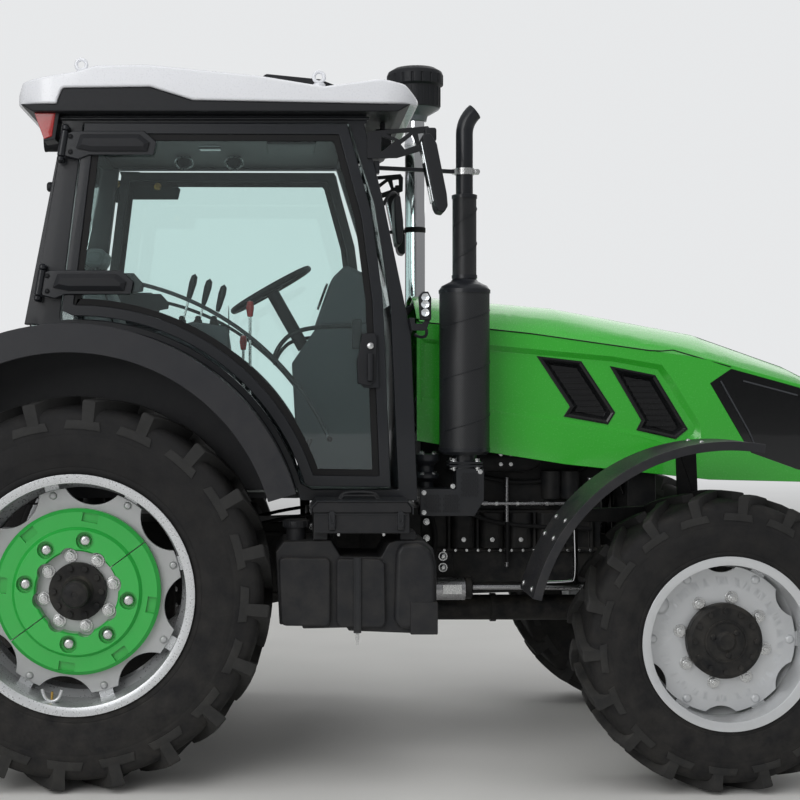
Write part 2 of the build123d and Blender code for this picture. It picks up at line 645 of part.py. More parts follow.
ROD_R = 16
ROD_Z = FRONT_TYRE_R + EAR_OUT + 2 * SEAT + 24 + 22
ROD_X = WHEELBASE - ARM_LENGTH
with BuildPart() as steering_cylinder:
    with Locations((ROD_X, 0, ROD_Z)):
        Cylinder(36, 420, rotation=(90, 0, 0))
        Cylinder(ROD_R + FIT, 440, rotation=(90, 0, 0), mode=Mode.SUBTRACT)
    with BuildSketch(Plane.XZ.offset(150)):
        Polygon((ROD_X - 30, ROD_Z), (ROD_X + 30, ROD_Z), (ROD_X + 40, 765), (ROD_X - 40, 765), align=None)
    strap = extrude(amount=40)
    mirror(strap, about=Plane.XZ)
    with Locations((ROD_X, 0, ROD_Z)):
        Cylinder(ROD_R + FIT, 440, rotation=(90, 0, 0), mode=Mode.SUBTRACT)
keep(steering_cylinder, "steering_cylinder")

with BuildPart() as steering_rod:
    with Locations((ROD_X, 0, ROD_Z)):
        Cylinder(ROD_R, 2 * KINGPIN_Y, rotation=(90, 0, 0))
        with Locations((0, KINGPIN_Y, 0), (0, -KINGPIN_Y, 0)):
            Cylinder(26, 44)
keep(steering_rod, "steering_rod")

with BuildPart() as drive_shaft:
    with Locations(((SHAFT_START + WHEELBASE - 280) / 2, 0, SHAFT_Z)):
        Cylinder(55, WHEELBASE - 280 - SHAFT_START, rotation=(0, 90, 0))
keep(drive_shaft, "drive_shaft")

# ------------------------------------------------------------------ tank and boxes under the cab
TANK_FACE = 885
with BuildPart() as fuel_tank:
    with BuildSketch(Plane.XZ.offset(TANK_IN)):
        Polygon((775, 622), (760, 900), (790, 940), (973, 946), (1010, 884), (1165, 882), (1195, 935), (1230, 946),
                (1330, 944), (1366, 915), (1379, 850), (1379, 590), (1330, 587), (1040, 598), (1036, 610), (865, 606),
                (861, 622), align=None)
    extrude(amount=TANK_FACE - TANK_IN)
    # proud outer face
    with BuildSketch(Plane.XZ.offset(TANK_FACE - 1)):
        Polygon((868, 612), (868, 872), (885, 880), (1168, 878), (1200, 930), (1232, 938), (1326, 937), (1360, 910),
                (1372, 850), (1374, 596), (1330, 593), (1042, 604), (1038, 616), align=None)
    extrude(amount=31, taper=12)
    # groove, strap and reinforced corner
    with Locations((982, -TANK_FACE - 30, 745)):
        Box(18, 16, 240, mode=Mode.SUBTRACT)
    with Locations((1072, -(TANK_IN + TANK_FACE + 34) / 2, 741)):
        Box(40, TANK_FACE + 34 - TANK_IN, 286)
    with Locations((1328, -TANK_FACE - 14, 648)):
        Box(102, 40, 116)
    # filler neck and cap
    with Locations((840, -790, 960)):
        Cylinder(38, 60)
keep(fuel_tank, "fuel_tank")

with BuildPart() as tool_box:
    # columns: side outline, inner and outer distance from the middle
    for outline, near, far in ((((905, 977), (905, 1057), (1272, 1057), (1272, 977)), CAB_HALF + SEAT, 936),
                               (((899, 1057), (899, 1076), (920, 1098), (1262, 1098), (1279, 1076), (1279, 1057)),
                                CAB_HALF + SEAT, 946),
                               (((1003, 1097), (1020, 1118), (1146, 1118), (1163, 1097), (1150, 1097), (1140, 1108),
                                 (1026, 1108), (1016, 1097)), 816, 838),
                               (((962, 990), (962, 1046), (988, 1046), (988, 990)), 930, 948),
                               (((1224, 990), (1224, 1046), (1250, 1046), (1250, 990)), 930, 948),
                               (((905, 946.5), (905, 978), (960, 978), (960, 946.5)), 730, 880),
                               (((1240, 946.5), (1240, 978), (1300, 978), (1300, 946.5)), 730, 880)):
        with BuildSketch(Plane.XZ.offset(near)):
            Polygon(*outline, align=None)
        extrude(amount=far - near)
keep(tool_box, "tool_box")

with BuildPart() as cab_steps:
    # columns: rear, front, height, inner and outer edge of a tread
    for x0, x1, z, near, far in ((900, 1260, 480, 640, 900), (890, 1250, 760, 640, 880), (880, 1240, 1010, 640, 860)):
        with BuildSketch(Plane.XY.offset(z)):
            with Locations(((x0 + x1) / 2, (near + far) / 2)):
                Rectangle(x1 - x0, far - near)
        extrude(amount=30)
    for x in (900, 1230):
        with BuildSketch(Plane.XZ.offset(-660)):
            Polygon((x - 12, 480), (x - 30, FLOOR_Z - SEAT), (x + 18, FLOOR_Z - SEAT), (x + 36, 480), align=None)
        extrude(amount=14)
    with Locations((1150, (BATTERY_IN + 641) / 2, 820)):
        Box(420, 641 - BATTERY_IN, 300)
keep(cab_steps, "cab_steps")


# ------------------------------------------------------------------ cab
def rear_wall(z, inset=0):
    """x of the cab's slanted rear face at a height."""
    return -233 + REAR_WALL_SLOPE * (z - 1842) + inset


HINGE_BARREL = 50


def hinge_plane(point):
    """Local frame of a door hinge on the right: z along its tilted pin, y towards the cab."""
    run, rise = HINGE_TOP[0] - HINGE_LOW[0], HINGE_TOP[1] - HINGE_LOW[1]
    return Plane(origin=(point[0], -HINGE_Y, point[1]), x_dir=(rise, 0, -run), z_dir=(run, 0, rise))


with BuildPart() as cab_frame:
    # floor, platform under the seat and the wall between the fenders
    with BuildSketch(Plane.XZ.offset(-FENDER_IN + 1)):
        Polygon((rear_wall(PLATFORM_Z), PLATFORM_Z), (rear_wall(1300), 1300), (rear_wall(1300, 30), 1300),
                (rear_wall(PLATFORM_TOP, 30), PLATFORM_TOP), (440, PLATFORM_TOP), (470, PLATFORM_Z),
                (470, FLOOR_TOP), (900, FLOOR_TOP), (900, FLOOR_Z), (440, FLOOR_Z), (440, PLATFORM_Z),
                align=None)
    extrude(amount=2 * FENDER_IN - 2)
    with BuildSketch(Plane.XY.offset(FLOOR_Z)):
        with Locations(((900 + 1320) / 2, 0)):
            Rectangle(1320 - 900, 2 * CAB_HALF - 10)
    extrude(amount=25)
    # sill that follows the fender
    sill = band(FENDER_X, FENDER_Z, FENDER_R + 28, 28 - SEAT, FENDER_START, 90 - FENDER_START + 10)
    extrude(sill.moved(Location((0, -620, 0))), amount=CAB_HALF - 620)
    with BuildSketch(Plane.XZ.offset(CAB_IN)):
        Polygon((857, FLOOR_Z), (840, 1150), (870, 1150), (905, FLOOR_Z + 45), (1320, FLOOR_Z + 45), (1320, FLOOR_Z),
                align=None)
    extrude(amount=CAB_HALF - CAB_IN)
    with BuildSketch(Plane.XZ.offset(CAB_IN)):
        Polygon(*A_POST, align=None)
    extrude(amount=CAB_HALF - CAB_IN)
    with BuildSketch(Plane.XZ.offset(CAB_IN)):
        Polygon((rear_wall(1782, 10), 1782), (rear_wall(CAB_TOP, 0), CAB_TOP), (0, CAB_TOP), (-92, 1830), (-92, 1782),
                align=None)
    extrude(amount=CAB_HALF - CAB_IN)
    with BuildSketch(Plane.XZ.offset(CAB_IN)):
        Polygon((-90, CAB_TOP), (-90, ROOF_Z - SEAT), (1120, ROOF_Z - SEAT), (1120, CAB_TOP), align=None)
    extrude(amount=CAB_HALF - CAB_IN)
    for point in (HINGE_LOW, HINGE_TOP):
        with Locations(hinge_plane(point)):
            Cylinder(HINGE_PIN_R, 2 * HINGE_BARREL + 44)
            for end in (-1, 1):
                with Locations((0, 0, end * (HINGE_BARREL + 12))):
                    Cylinder(14, 18)
                    with Locations((0, HINGE_Y / 2 - CAB_HALF / 2 + 6, 0)):
                        Box(24, HINGE_Y - CAB_HALF + 12, 18)
    mirror(about=Plane.XZ)
    for x0, x1 in ((-90, -20), (1050, 1120)):
        with Locations(((x0 + x1) / 2, 0, (CAB_TOP + ROOF_Z - SEAT) / 2)):
            Box(x1 - x0, 1300, ROOF_Z - SEAT - CAB_TOP)
    # hinge ears and pins of the hood
    for side in (-1, 1):
        for y in (side * HOOD_HINGE_Y - 32, side * HOOD_HINGE_Y + 22):
            with BuildSketch(Plane.XZ.offset(-y - 10)):
                with Locations(HOOD_PIVOT):
                    Circle(12)
                Polygon((HOOD_PIVOT[0] + 7, HOOD_PIVOT[1] - 10), (HOOD_PIVOT[0] - 11, HOOD_PIVOT[1] - 2), (1262, 1846),
                        (1270, 1776), align=None)
            extrude(amount=10)
        with Locations((HOOD_PIVOT[0], side * HOOD_HINGE_Y, HOOD_PIVOT[1])):
            Cylinder(HOOD_PIN_R, 64, rotation=(90, 0, 0))
    # cowl between the cab and the hood
    with BuildSketch(Plane.XZ.offset(-380)):
        Polygon((1262, FLOOR_Z), (1262, 1700), (1236, 1880), (1270, 1880), (1308, 1700), (1320, FLOOR_Z), align=None)
    extrude(amount=760)
keep(cab_frame, "cab_frame")

with BuildPart() as cab_glass:
    with BuildSketch(Plane.XZ.offset(SEAT - CAB_IN)):
        Polygon((rear_wall(1300, 6), 1300), (rear_wall(1300, 12), 1300), (rear_wall(CAB_TOP, 12), CAB_TOP),
                (rear_wall(CAB_TOP, 6), CAB_TOP), align=None)
    extrude(amount=2 * (CAB_IN - SEAT))
    for side in (-1, 1):
        with Locations((-250, side * 600, 1250)):
            Box(700, 120, 1130, mode=Mode.SUBTRACT)
    with BuildSketch(Plane.XZ.offset(SEAT - CAB_IN)):
        Polygon((1104, 2570), (1183, 2258), (1290, 1743), (1312, 1140), (1306, 1140), (1284, 1743), (1177, 2258),
                (1098, 2570), align=None)
    extrude(amount=2 * (CAB_IN - SEAT))
    with Locations((1280, 0, 1500)):
        Box(300, 768, 768, mode=Mode.SUBTRACT)
keep(cab_glass, "cab_glass")

# ------------------------------------------------------------------ doors
DOOR = ((9, 2574), (1041, 2571), (1139, 2212), (1182, 1878), (1212, 1141), (890, 1145))
# columns: forwards and upwards from the hinge's middle
HINGE_PLATE = ((4, -38), (12, 36), (40, 48), (318, 48), (368, 4), (356, -46), (100, -46), (60, -62), (10, -50))
with BuildPart() as door_frame:
    with BuildSketch(Plane.XZ.offset(DOOR_IN)) as door_face:
        with BuildLine():
            Polyline((-81, 1836), *DOOR)
            CenterArc((FENDER_X, FENDER_Z), FENDER_R + 40, 17, 74)
            Line((890, 1145), polar(FENDER_R + 40, 17, FENDER_X, FENDER_Z))
            Line(polar(FENDER_R + 40, 91, FENDER_X, FENDER_Z), (-81, 1836))
        make_face()
        offset(amount=-DOOR_BAR, mode=Mode.SUBTRACT)
    extrude(amount=DOOR_OUT - DOOR_IN)
    for point in (HINGE_LOW, HINGE_TOP):
        with BuildSketch(Plane.XZ.offset(DOOR_OUT)):
            Polygon(*[(point[0] + x, point[1] + z) for x, z in HINGE_PLATE], align=None)
        extrude(amount=14)
        with Locations(hinge_plane(point)):
            Cylinder(15, 2 * HINGE_BARREL)
            Cylinder(HINGE_PIN_R + FIT, 2 * HINGE_BARREL + 10, mode=Mode.SUBTRACT)
    # latch and handle on the front bar
    with BuildSketch(Plane.XZ.offset(DOOR_OUT - 6)):
        Polygon((1085, 1560), (1085, 1660), (1118, 1739), (1160, 1739), (1166, 1531), (1108, 1531), align=None)
    extrude(amount=22)
    # rail inside the glass, from the lower hinge down to the sill
    with BuildSketch(Plane.XZ.offset(DOOR_IN)):
        Polygon((-70, 1900), (-60, 1985), (200, 1985), (240, 1940), (236, 1912), (190, 1904), align=None)
    extrude(amount=9)
    rail = band(FENDER_X, FENDER_Z, FENDER_R + 203, 16, 24.5, 52.3)
    extrude(rail.moved(Location((0, -DOOR_IN + 6, 0))), amount=12)
keep_pair(door_frame, "door_frame")

with BuildPart() as door_glass:
    with BuildSketch(Plane.XZ.offset(DOOR_IN + 16)):
        with BuildLine():
            Polyline((-81, 1836), *DOOR)
            CenterArc((FENDER_X, FENDER_Z), FENDER_R + 40, 17, 74)
            Line((890, 1145), polar(FENDER_R + 40, 17, FENDER_X, FENDER_Z))
            Line(polar(FENDER_R + 40, 91, FENDER_X, FENDER_Z), (-81, 1836))
        make_face()
        offset(amount=-DOOR_BAR - SEAT, mode=Mode.REPLACE)
    extrude(amount=GLASS)
keep_pair(door_glass, "door_glass")

# ------------------------------------------------------------------ roof
ROOF_HALF = 800
ROOF_LOW = 2642
ROOF_UNDER = ((1180, 2642), (436, 2656), (269, 2708), (-73, 2704), (-92, 2656))
# columns: x, top edge at the side, rise to the middle
ROOF = ((-256, 2690, 14), (-236, 2732, 26), (-23, 2766, 44), (60, 2790, 50), (260, 2793, 54), (691, 2750, 54),
        (950, 2708, 50), (1060, 2724, 40), (1173, 2738, 30), (1268, 2720, 24), (1323, 2668, 16))
EYE_Y = 600
with BuildPart() as roof_cap:
    for x, edge, rise in ROOF:
        with BuildSketch(Plane.YZ.offset(x)):
            with BuildLine():
                Polyline((ROOF_HALF, edge), (ROOF_HALF, ROOF_LOW), (-ROOF_HALF, ROOF_LOW), (-ROOF_HALF, edge))
                ThreePointArc((-ROOF_HALF, edge), (0, edge + rise), (ROOF_HALF, edge))
            make_face()
    loft(ruled=True)
    with BuildSketch(Plane.XZ.offset(-ROOF_HALF)):
        Polygon(*ROOF_UNDER, (-92, ROOF_LOW), align=None)
    extrude(amount=2 * ROOF_HALF, mode=Mode.SUBTRACT)
    with BuildSketch(Plane.XY.offset(2600)):
        with Locations(((ROOF[0][0] + ROOF[-1][0]) / 2, 0)):
            RectangleRounded(1600, 2 * ROOF_HALF, 160)
    extrude(amount=300, mode=Mode.INTERSECT)
    # lifting eyes
    for x, z in ((-22, 2812), (934, 2762)):
        for y in (-EYE_Y, EYE_Y):
            with Locations((x, y, z - 30)):
                Cylinder(13, 60)
            with Locations((x, y, z + 20)):
                Torus(21, 7, rotation=(90, 0, 0))
keep(roof_cap, "roof_cap")

with BuildPart() as roof_trim:
    with BuildSketch(Plane.XZ.offset(-790)):
        Polygon(*[(x, z - SEAT) for x, z in ROOF_UNDER[:-1]], (ROOF_UNDER[-1][0] + SEAT, ROOF_UNDER[-1][1] - SEAT),
                (ROOF_UNDER[-1][0] + SEAT, ROOF_LOW - SEAT), (-240, ROOF_LOW - SEAT), (-190, ROOF_Z), (1240, ROOF_Z),
                (1290, ROOF_LOW - SEAT), align=None)
    extrude(amount=1580)
    with BuildSketch(Plane.XZ.offset(-520)):
        Polygon((695, 2700), (700, 2796), (720, 2812), (940, 2790), (1006, 2764), (1010, 2700), align=None)
    extrude(amount=1040)
    add(roof_cap.part.moved(Location((0, 0, SEAT))), mode=Mode.SUBTRACT)
    # headliner between the cab's cross members
    with Locations(((1050 - 20) / 2, 0, (HEADLINER_Z + ROOF_Z + 10) / 2)):
        Box(1070 - 2 * SEAT, 2 * (CAB_IN - SEAT), ROOF_Z + 10 - HEADLINER_Z)
keep(roof_trim, "roof_trim")


# ------------------------------------------------------------------ hood
def hood_skin(inset):
    """Lofted hood body, drawn in by an inset for its inside."""
    with BuildPart() as body:
        for x, low, seam, crest, half in HOOD:
            with BuildSketch(Plane.YZ.offset(x - (inset if x > 3200 else 0))):
                with BuildLine():
                    side = half - inset
                    Polyline((side, seam - inset), (side, low - 3 * inset), (-side, low - 3 * inset),
                             (-side, seam - inset))
                    ThreePointArc((-side, seam - inset), (0, crest - inset), (side, seam - inset))
                make_face()
        loft(ruled=True)
    return body


hood_outer = hood_skin(0)
hood_inner = hood_skin(HOOD_SHEET)
# side-view outlines of the recessed field, the vents in it and the lamp panel
RECESS = ((1375, 1722), (2159, 1648), (2354, 1614), (2404, 1545), (2505, 1380), (2510, 1335), (2460, 1290),
          (2258, 1345), (1375, 1500))
VENTS = (
    ((1850, 1660), (2029, 1639), (2168, 1428), (2140, 1382), (1961, 1414), (1986, 1453)),
    ((2154, 1618), (2336, 1582), (2470, 1360), (2422, 1321), (2263, 1357), (2283, 1396)),
)
LAMP_PANEL = ((2651, 1610), (2562, 1550), (2701, 1315), (2736, 1261), (2935, 1190), (3185, 1190), (3185, 1432),
              (2935, 1533))
TOP_STRIP = (2582, 3168, 130)
NOSE_OPENING = (410, 190)


def prism(outline, near, far, grow=0):
    """A side-view outline extruded between two distances from the middle, on both sides."""
    with BuildPart() as both:
        with BuildSketch(Plane.XZ.offset(near)):
            Polygon(*outline, align=None)
            if grow:
                offset(amount=grow, kind=Kind.INTERSECTION, mode=Mode.REPLACE)
        extrude(amount=far - near)
        mirror(about=Plane.XZ)
    return both.part


with BuildPart() as hood_panels:
    add(hood_outer.part)
    add(hood_inner.part, mode=Mode.SUBTRACT)
    with Locations((HOOD_REAR, 0, 1500)):
        Box(20, 2 * (HOOD_HALF - HOOD_SHEET), 640, mode=Mode.SUBTRACT)
    back = HOOD_HALF - HOOD_RECESS - HOOD_SHEET
    add(prism(RECESS, back, HOOD_HALF - 1, 8))
    add(prism(RECESS, HOOD_HALF - HOOD_RECESS, HOOD_HALF + 5), mode=Mode.SUBTRACT)
    for outline in VENTS:
        add(prism(outline, 360, 450), mode=Mode.SUBTRACT)
    add(prism(LAMP_PANEL, 290, 450), mode=Mode.SUBTRACT)
    x0, x1, half = TOP_STRIP
    with Locations(((x0 + x1) / 2, 0, 1700)):
        Box(x1 - x0, 2 * half, 640, mode=Mode.SUBTRACT)
    with Locations((NOSE_END, 0, 1290)):
        Box(30, *NOSE_OPENING, mode=Mode.SUBTRACT)
    for side in (-1, 1):
        with Locations((HOOD_PIVOT[0], side * HOOD_HINGE_Y, HOOD_PIVOT[1])):
            Cylinder(13, 38, rotation=(90, 0, 0))
            with Locations((2, 0, 11)):
                Box(18, 38, 22)
            Cylinder(HOOD_PIN_R + FIT, 50, rotation=(90, 0, 0), mode=Mode.SUBTRACT)
keep(hood_panels, "hood_panels")

with BuildPart() as top_strip:
    add(hood_skin(-1).part)
    add(hood_skin(HOOD_SHEET + 2).part, mode=Mode.SUBTRACT)
    with Locations(((x0 + x1) / 2, 0, 1700)):
        Box(x1 - x0 - 2 * SEAT, 2 * (half - SEAT), 640, mode=Mode.INTERSECT)

with BuildPart() as hood_grilles:
    back = HOOD_HALF - HOOD_RECESS - HOOD_SHEET - SEAT
    for outline in VENTS:
        add(prism(outline, back - 8, back, 12))
    add(top_strip.part)
    # slatted nose
    with Locations((NOSE_END - 9.5, 0, 1290)):
        Box(8, NOSE_OPENING[0] + 40, NOSE_OPENING[1] + 22)
        Box(20, NOSE_OPENING[0] - 12, NOSE_OPENING[1] - 12, mode=Mode.SUBTRACT)
    with Locations(*[(NOSE_END - 6, 0, 1290 + 26 * k) for k in range(-3, 4)]):
        Box(12, NOSE_OPENING[0] - 2 * SEAT, 9)
keep(hood_grilles, "hood_grilles")

with BuildPart() as headlamps:
    add(hood_skin(1).part)
    add(hood_skin(9).part, mode=Mode.SUBTRACT)
    add(prism(LAMP_PANEL, 290, 450, -SEAT), mode=Mode.INTERSECT)
keep(headlamps, "headlamps")

# ------------------------------------------------------------------ exhaust and air intake
EXHAUST = (1525, -550)
OUTLET_BEND = 120
OUTLET_Z = 2560
CLAMP_Z = 2407
with BuildPart() as exhaust:
    with BuildSketch(Plane.XZ.offset(-EXHAUST[1])):
        with BuildLine():
            # columns: radius, height
            Polyline(*[(EXHAUST[0] + r, z) for r, z in (
                (0, 1190), (34, 1190), (34, 1206), (60, 1206), (60, 1230), (50, 1234), (50, 1262), (90, 1262),
                (101.5, 1274), (101.5, 1930), (92, 1944), (56, 1962), (48.5, 1972), (48.5, 2314), (34.5, 2314),
                (34.5, CLAMP_Z - 12), (38, CLAMP_Z - 12), (38, CLAMP_Z + 12), (34.5, CLAMP_Z + 12),
                (34.5, OUTLET_Z), (0, OUTLET_Z))], close=True)
        make_face()
    revolve(axis=Axis((EXHAUST[0], EXHAUST[1], 0), (0, 0, 1)))
    # outlet turned forwards and left open
    bend_axis = Axis((EXHAUST[0] + OUTLET_BEND, EXHAUST[1], OUTLET_Z), (0, 1, 0))
    with BuildSketch(Plane.XY.offset(OUTLET_Z)):
        with Locations(EXHAUST):
            Circle(34.5)
    revolve(axis=bend_axis, revolution_arc=50)
    with BuildSketch(Plane.XY.offset(OUTLET_Z)):
        with Locations(EXHAUST):
            Circle(31)
    revolve(axis=bend_axis, revolution_arc=50.5, mode=Mode.SUBTRACT)
    # perforated guard round the elbow, the stub beside it and the pipe to the engine
    with BuildSketch(Plane.XZ.offset(-EXHAUST[1] - 55)):
        Polygon((1341, 1016), (1341, 1125), (1486, 1125), (1486, 1206), (1598, 1206), (1598, 1080), (1560, 1016),
                align=None)
    extrude(amount=110)
    with BuildSketch(Plane.XZ.offset(500)):
        with BuildLine():
            Polyline(*[(1370 + r, z) for r, z in (
                (0, 1120), (34, 1120), (34, 1150), (58, 1165), (58, 1180), (36, 1190), (36, 1214), (60, 1236),
                (60, 1262), (0, 1262))], close=True)
        make_face()
    revolve(axis=Axis((1370, -500, 0), (0, 0, 1)))
    with Locations((1450, -(ENGINE_HALF + SEAT + 500) / 2, 1080)):
        Cylinder(40, 500 - ENGINE_HALF - SEAT, rotation=(90, 0, 0))
    # rod and foot to the windscreen post
    with BuildSketch(Plane.XZ.offset(CAB_IN + 6)):
        Polygon((post_front(CLAMP_Z - 24) + SEAT, CLAMP_Z - 24), (post_front(CLAMP_Z + 24) + SEAT, CLAMP_Z + 24),
                (1172, CLAMP_Z + 24), (1172, CLAMP_Z - 24), align=None)
    extrude(amount=50)
    with BuildSketch(Plane.XY.offset(CLAMP_Z - 8)):
        Polygon((1164, -662), (1164, -680), (1500, -560), (1500, -542), align=None)
    extrude(amount=16)
keep(exhaust, "exhaust")

INTAKE = (1415, 520)
INTAKE_R = 47
with BuildPart() as air_intake:
    with Locations((*INTAKE, (1190 + 2786) / 2)):
        Cylinder(INTAKE_R, 2786 - 1190)
    with Locations((*INTAKE, 2274)):
        Cylinder(INTAKE_R + 3, 22)
    with Locations((INTAKE[0], (INTAKE[1] + ENGINE_HALF + SEAT) / 2, 1237)):
        Cylinder(INTAKE_R, INTAKE[1] - ENGINE_HALF - SEAT, rotation=(90, 0, 0))
    # strap and foot to the windscreen post
    with BuildSketch(Plane.XZ.offset(-CAB_HALF + 8)):
        Polygon((post_front(2262) + SEAT, 2262), (post_front(2300) + SEAT, 2300), (1212, 2300), (1212, 2262),
                align=None)
    extrude(amount=50)
    with BuildSketch(Plane.XY.offset(2266)):
        Polygon((1200, 668), (1200, 684), (1395, 566), (1385, 552), align=None)
    extrude(amount=16)
keep(air_intake, "air_intake")

with BuildPart() as precleaner:
    with BuildSketch(Plane.XZ.offset(-INTAKE[1])):
        with BuildLine():
            # columns: radius, height
            Polyline(*[(INTAKE[0] + r, z) for r, z in (
                (0, 2786 + SEAT), (54, 2786 + SEAT), (60, 2812), (112, 2842), (118, 2850), (118, 2948), (133, 2956),
                (133, 3000), (126, 3018), (96, 3036), (60, 3040), (0, 3040))], close=True)
        make_face()
    revolve(axis=Axis((INTAKE[0], INTAKE[1], 0), (0, 0, 1)))
    with BuildSketch(Plane.XY.offset(2956)):
        with PolarLocations(0, 1):
            with Locations(*[(INTAKE[0] + 133 * math.cos(math.radians(a)), INTAKE[1] + 133 * math.sin(math.radians(a)))
                             for a in range(0, 360, 20)]):
                Circle(5)
    extrude(amount=44, mode=Mode.SUBTRACT)
keep(precleaner, "precleaner")

# ------------------------------------------------------------------ lamps
with BuildPart() as lamps:
    # work lamps under the roof. columns: x, distance from the middle
    for x, y in ((-150, 500), (1196, 500)):
        with Locations((x, y, ROOF_Z - 70), (x, -y, ROOF_Z - 70)):
            Cylinder(46, 56, rotation=(0, 90, 0))
        with Locations((x, y, ROOF_Z - SEAT - 20), (x, -y, ROOF_Z - SEAT - 20)):
            Box(20, 36, 40)
    # marker lamps on brackets at the windscreen posts
    with BuildSketch(Plane.XZ.offset(CAB_IN + 16)):
        Polygon((post_front(1756) + SEAT, 1756), (post_front(1806) + SEAT, 1806), (1306, 1806), (1306, 1756),
                align=None)
    foot = extrude(amount=120)
    with BuildSketch(Plane.XZ.offset(762)):
        Polygon((1292, 1756), (1292, 1784), (1336, 1784), (1346, 1800), (1366, 1800), (1350, 1756), align=None)
    arm = extrude(amount=14)
    with BuildSketch(Plane.XZ.offset(748)):
        Polygon((1326, 1798), (1320, 1890), (1334, 1908), (1356, 1908), (1368, 1884), (1368, 1798), align=None)
    shell = extrude(amount=44)
    mirror((foot, arm, shell), about=Plane.XZ)
keep(lamps, "lamps")

with BuildPart() as tail_lamps:
    with BuildSketch(Plane.XZ.offset(648)):
        Polygon((-188, ROOF_Z - SEAT), (-104, ROOF_Z - SEAT), (-118, 2520), (-150, 2508), align=None)
    extrude(amount=110)
    mirror(about=Plane.XZ)
keep(tail_lamps, "tail_lamps")

# ------------------------------------------------------------------ inside the cab
with BuildPart() as seat:
    # columns: side outline, half width, of the pedestal, cushion, back and headrest
    for outline, half in (
        (((60, PLATFORM_TOP), (60, 1460), (360, 1460), (360, PLATFORM_TOP)), 170),
        (((-40, 1450), (-60, 1560), (0, 1610), (420, 1640), (480, 1600), (460, 1500), (400, 1450)), 250),
        (((-60, 1540), (-90, 1900), (-80, 2060), (10, 2060), (70, 1900), (130, 1640), (90, 1540)), 240),
        (((-72, 2050), (-81, 2120), (-60, 2141), (15, 2141), (38, 2110), (12, 2050)), 140),
    ):
        with BuildSketch(Plane.XZ.offset(-half)):
            Polygon(*outline, align=None)
        extrude(amount=2 * half)
keep(seat, "seat")

WHEEL_C = (737, 1961)
WHEEL_TILT = 29.5
steering_plane = Plane(origin=(WHEEL_C[0], 0, WHEEL_C[1]), x_dir=(0, 1, 0),
                       z_dir=(-math.sin(math.radians(WHEEL_TILT)), 0, math.cos(math.radians(WHEEL_TILT))))
with BuildPart() as steering_wheel:
    with BuildSketch(steering_plane):
        Circle(200)
        Circle(174, mode=Mode.SUBTRACT)
        Rectangle(360, 40)
        Circle(52)
    extrude(amount=13, both=True)
    with BuildSketch(steering_plane):
        Circle(30)
    extrude(amount=-300)
keep(steering_wheel, "steering_wheel")

with BuildPart() as console:
    with BuildSketch(Plane.XZ.offset(-180)):
        Polygon((860, FLOOR_TOP), (830, 1640), (940, 1800), (1006, 2000), (1060, 2053), (1180, 2000), (1200, 1830),
                (1230, 1600), (1255, FLOOR_TOP), align=None)
    extrude(amount=360)
    with BuildSketch(Plane.XZ.offset(300)):
        Polygon((60, PLATFORM_TOP), (60, 1700), (420, 1800), (560, 1780), (600, 1500), (600, FLOOR_TOP), (471, FLOOR_TOP),
                (471, PLATFORM_TOP),
                align=None)
    extrude(amount=240)
    # three levers with their grips on the right-hand console. columns: x, height of the top
    for x, top in ((428, 2012), (495, 1991), (561, 1966)):
        with Locations((x, -400, (top + 1760) / 2)):
            Cylinder(6, top - 1760)
        with Locations((x, -400, top - 45)):
            Cylinder(14, 90)
    with Locations(steering_plane.offset(-300)):
        Cylinder(30 + SEAT, 700, mode=Mode.SUBTRACT)
keep(console, "console")

# ------------------------------------------------------------------ small pieces outside
with BuildPart() as mirrors:
    with BuildSketch(Plane.XZ.offset(900)):
        Polygon((1313, 2485), (1340, 2490), (1408, 2210), (1390, 2193), (1365, 2200), (1300, 2440), align=None)
    extrude(amount=130)
    with BuildSketch(Plane.XZ.offset(CAB_HALF)):
        Polygon((1120, 2440), (1120, 2540), (1370, 2565), (1370, 2480), (1330, 2470), align=None)
    extrude(amount=8)
    with Locations((1350, -(CAB_HALF + 940) / 2, 2500)):
        Box(30, 940 - CAB_HALF, 30)
    mirror(about=Plane.XZ)
keep(mirrors, "mirrors")

# ------------------------------------------------------------------ rear linkage
with BuildPart() as lift_arms:
    with Locations((LIFT_PIVOT[0], 0, LIFT_PIVOT[1])):
        Cylinder(34, 2 * (LIFT_ARM_Y + 30), rotation=(90, 0, 0))
    with BuildSketch(Plane.XZ.offset(LIFT_ARM_Y)):
        with Locations(LIFT_PIVOT):
            Circle(60)
        with Locations(LIFT_TIP):
            Circle(36)
        Polygon((LIFT_PIVOT[0] + 28, LIFT_PIVOT[1] - 53), (LIFT_PIVOT[0] - 28, LIFT_PIVOT[1] + 53),
                (LIFT_TIP[0] - 17, LIFT_TIP[1] + 32), (LIFT_TIP[0] + 17, LIFT_TIP[1] - 32), align=None)
    extrude(amount=36)
    with BuildSketch(Plane.XZ.offset(LIFT_ARM_Y)):
        with Locations(LIFT_TIP):
            Circle(14)
    extrude(amount=LIFT_ROD_Y - LIFT_ARM_Y + 32)
    mirror(about=Plane.XZ)
keep(lift_arms, "lift_arms")

with BuildPart() as lift_rods:
    with BuildSketch(Plane.XZ.offset(LIFT_ROD_Y)):
        with Locations(LIFT_TIP, LINK_EYE):
            Circle(30)
        Polygon((LIFT_TIP[0] - 18, LIFT_TIP[1]), (LIFT_TIP[0] + 18, LIFT_TIP[1]), (LINK_EYE[0] + 18, LINK_EYE[1]),
                (LINK_EYE[0] - 18, LINK_EYE[1]), align=None)
        with Locations(LIFT_TIP):
            Circle(14 + FIT, mode=Mode.SUBTRACT)
    extrude(amount=24)
    mirror(about=Plane.XZ)
keep(lift_rods, "lift_rods")

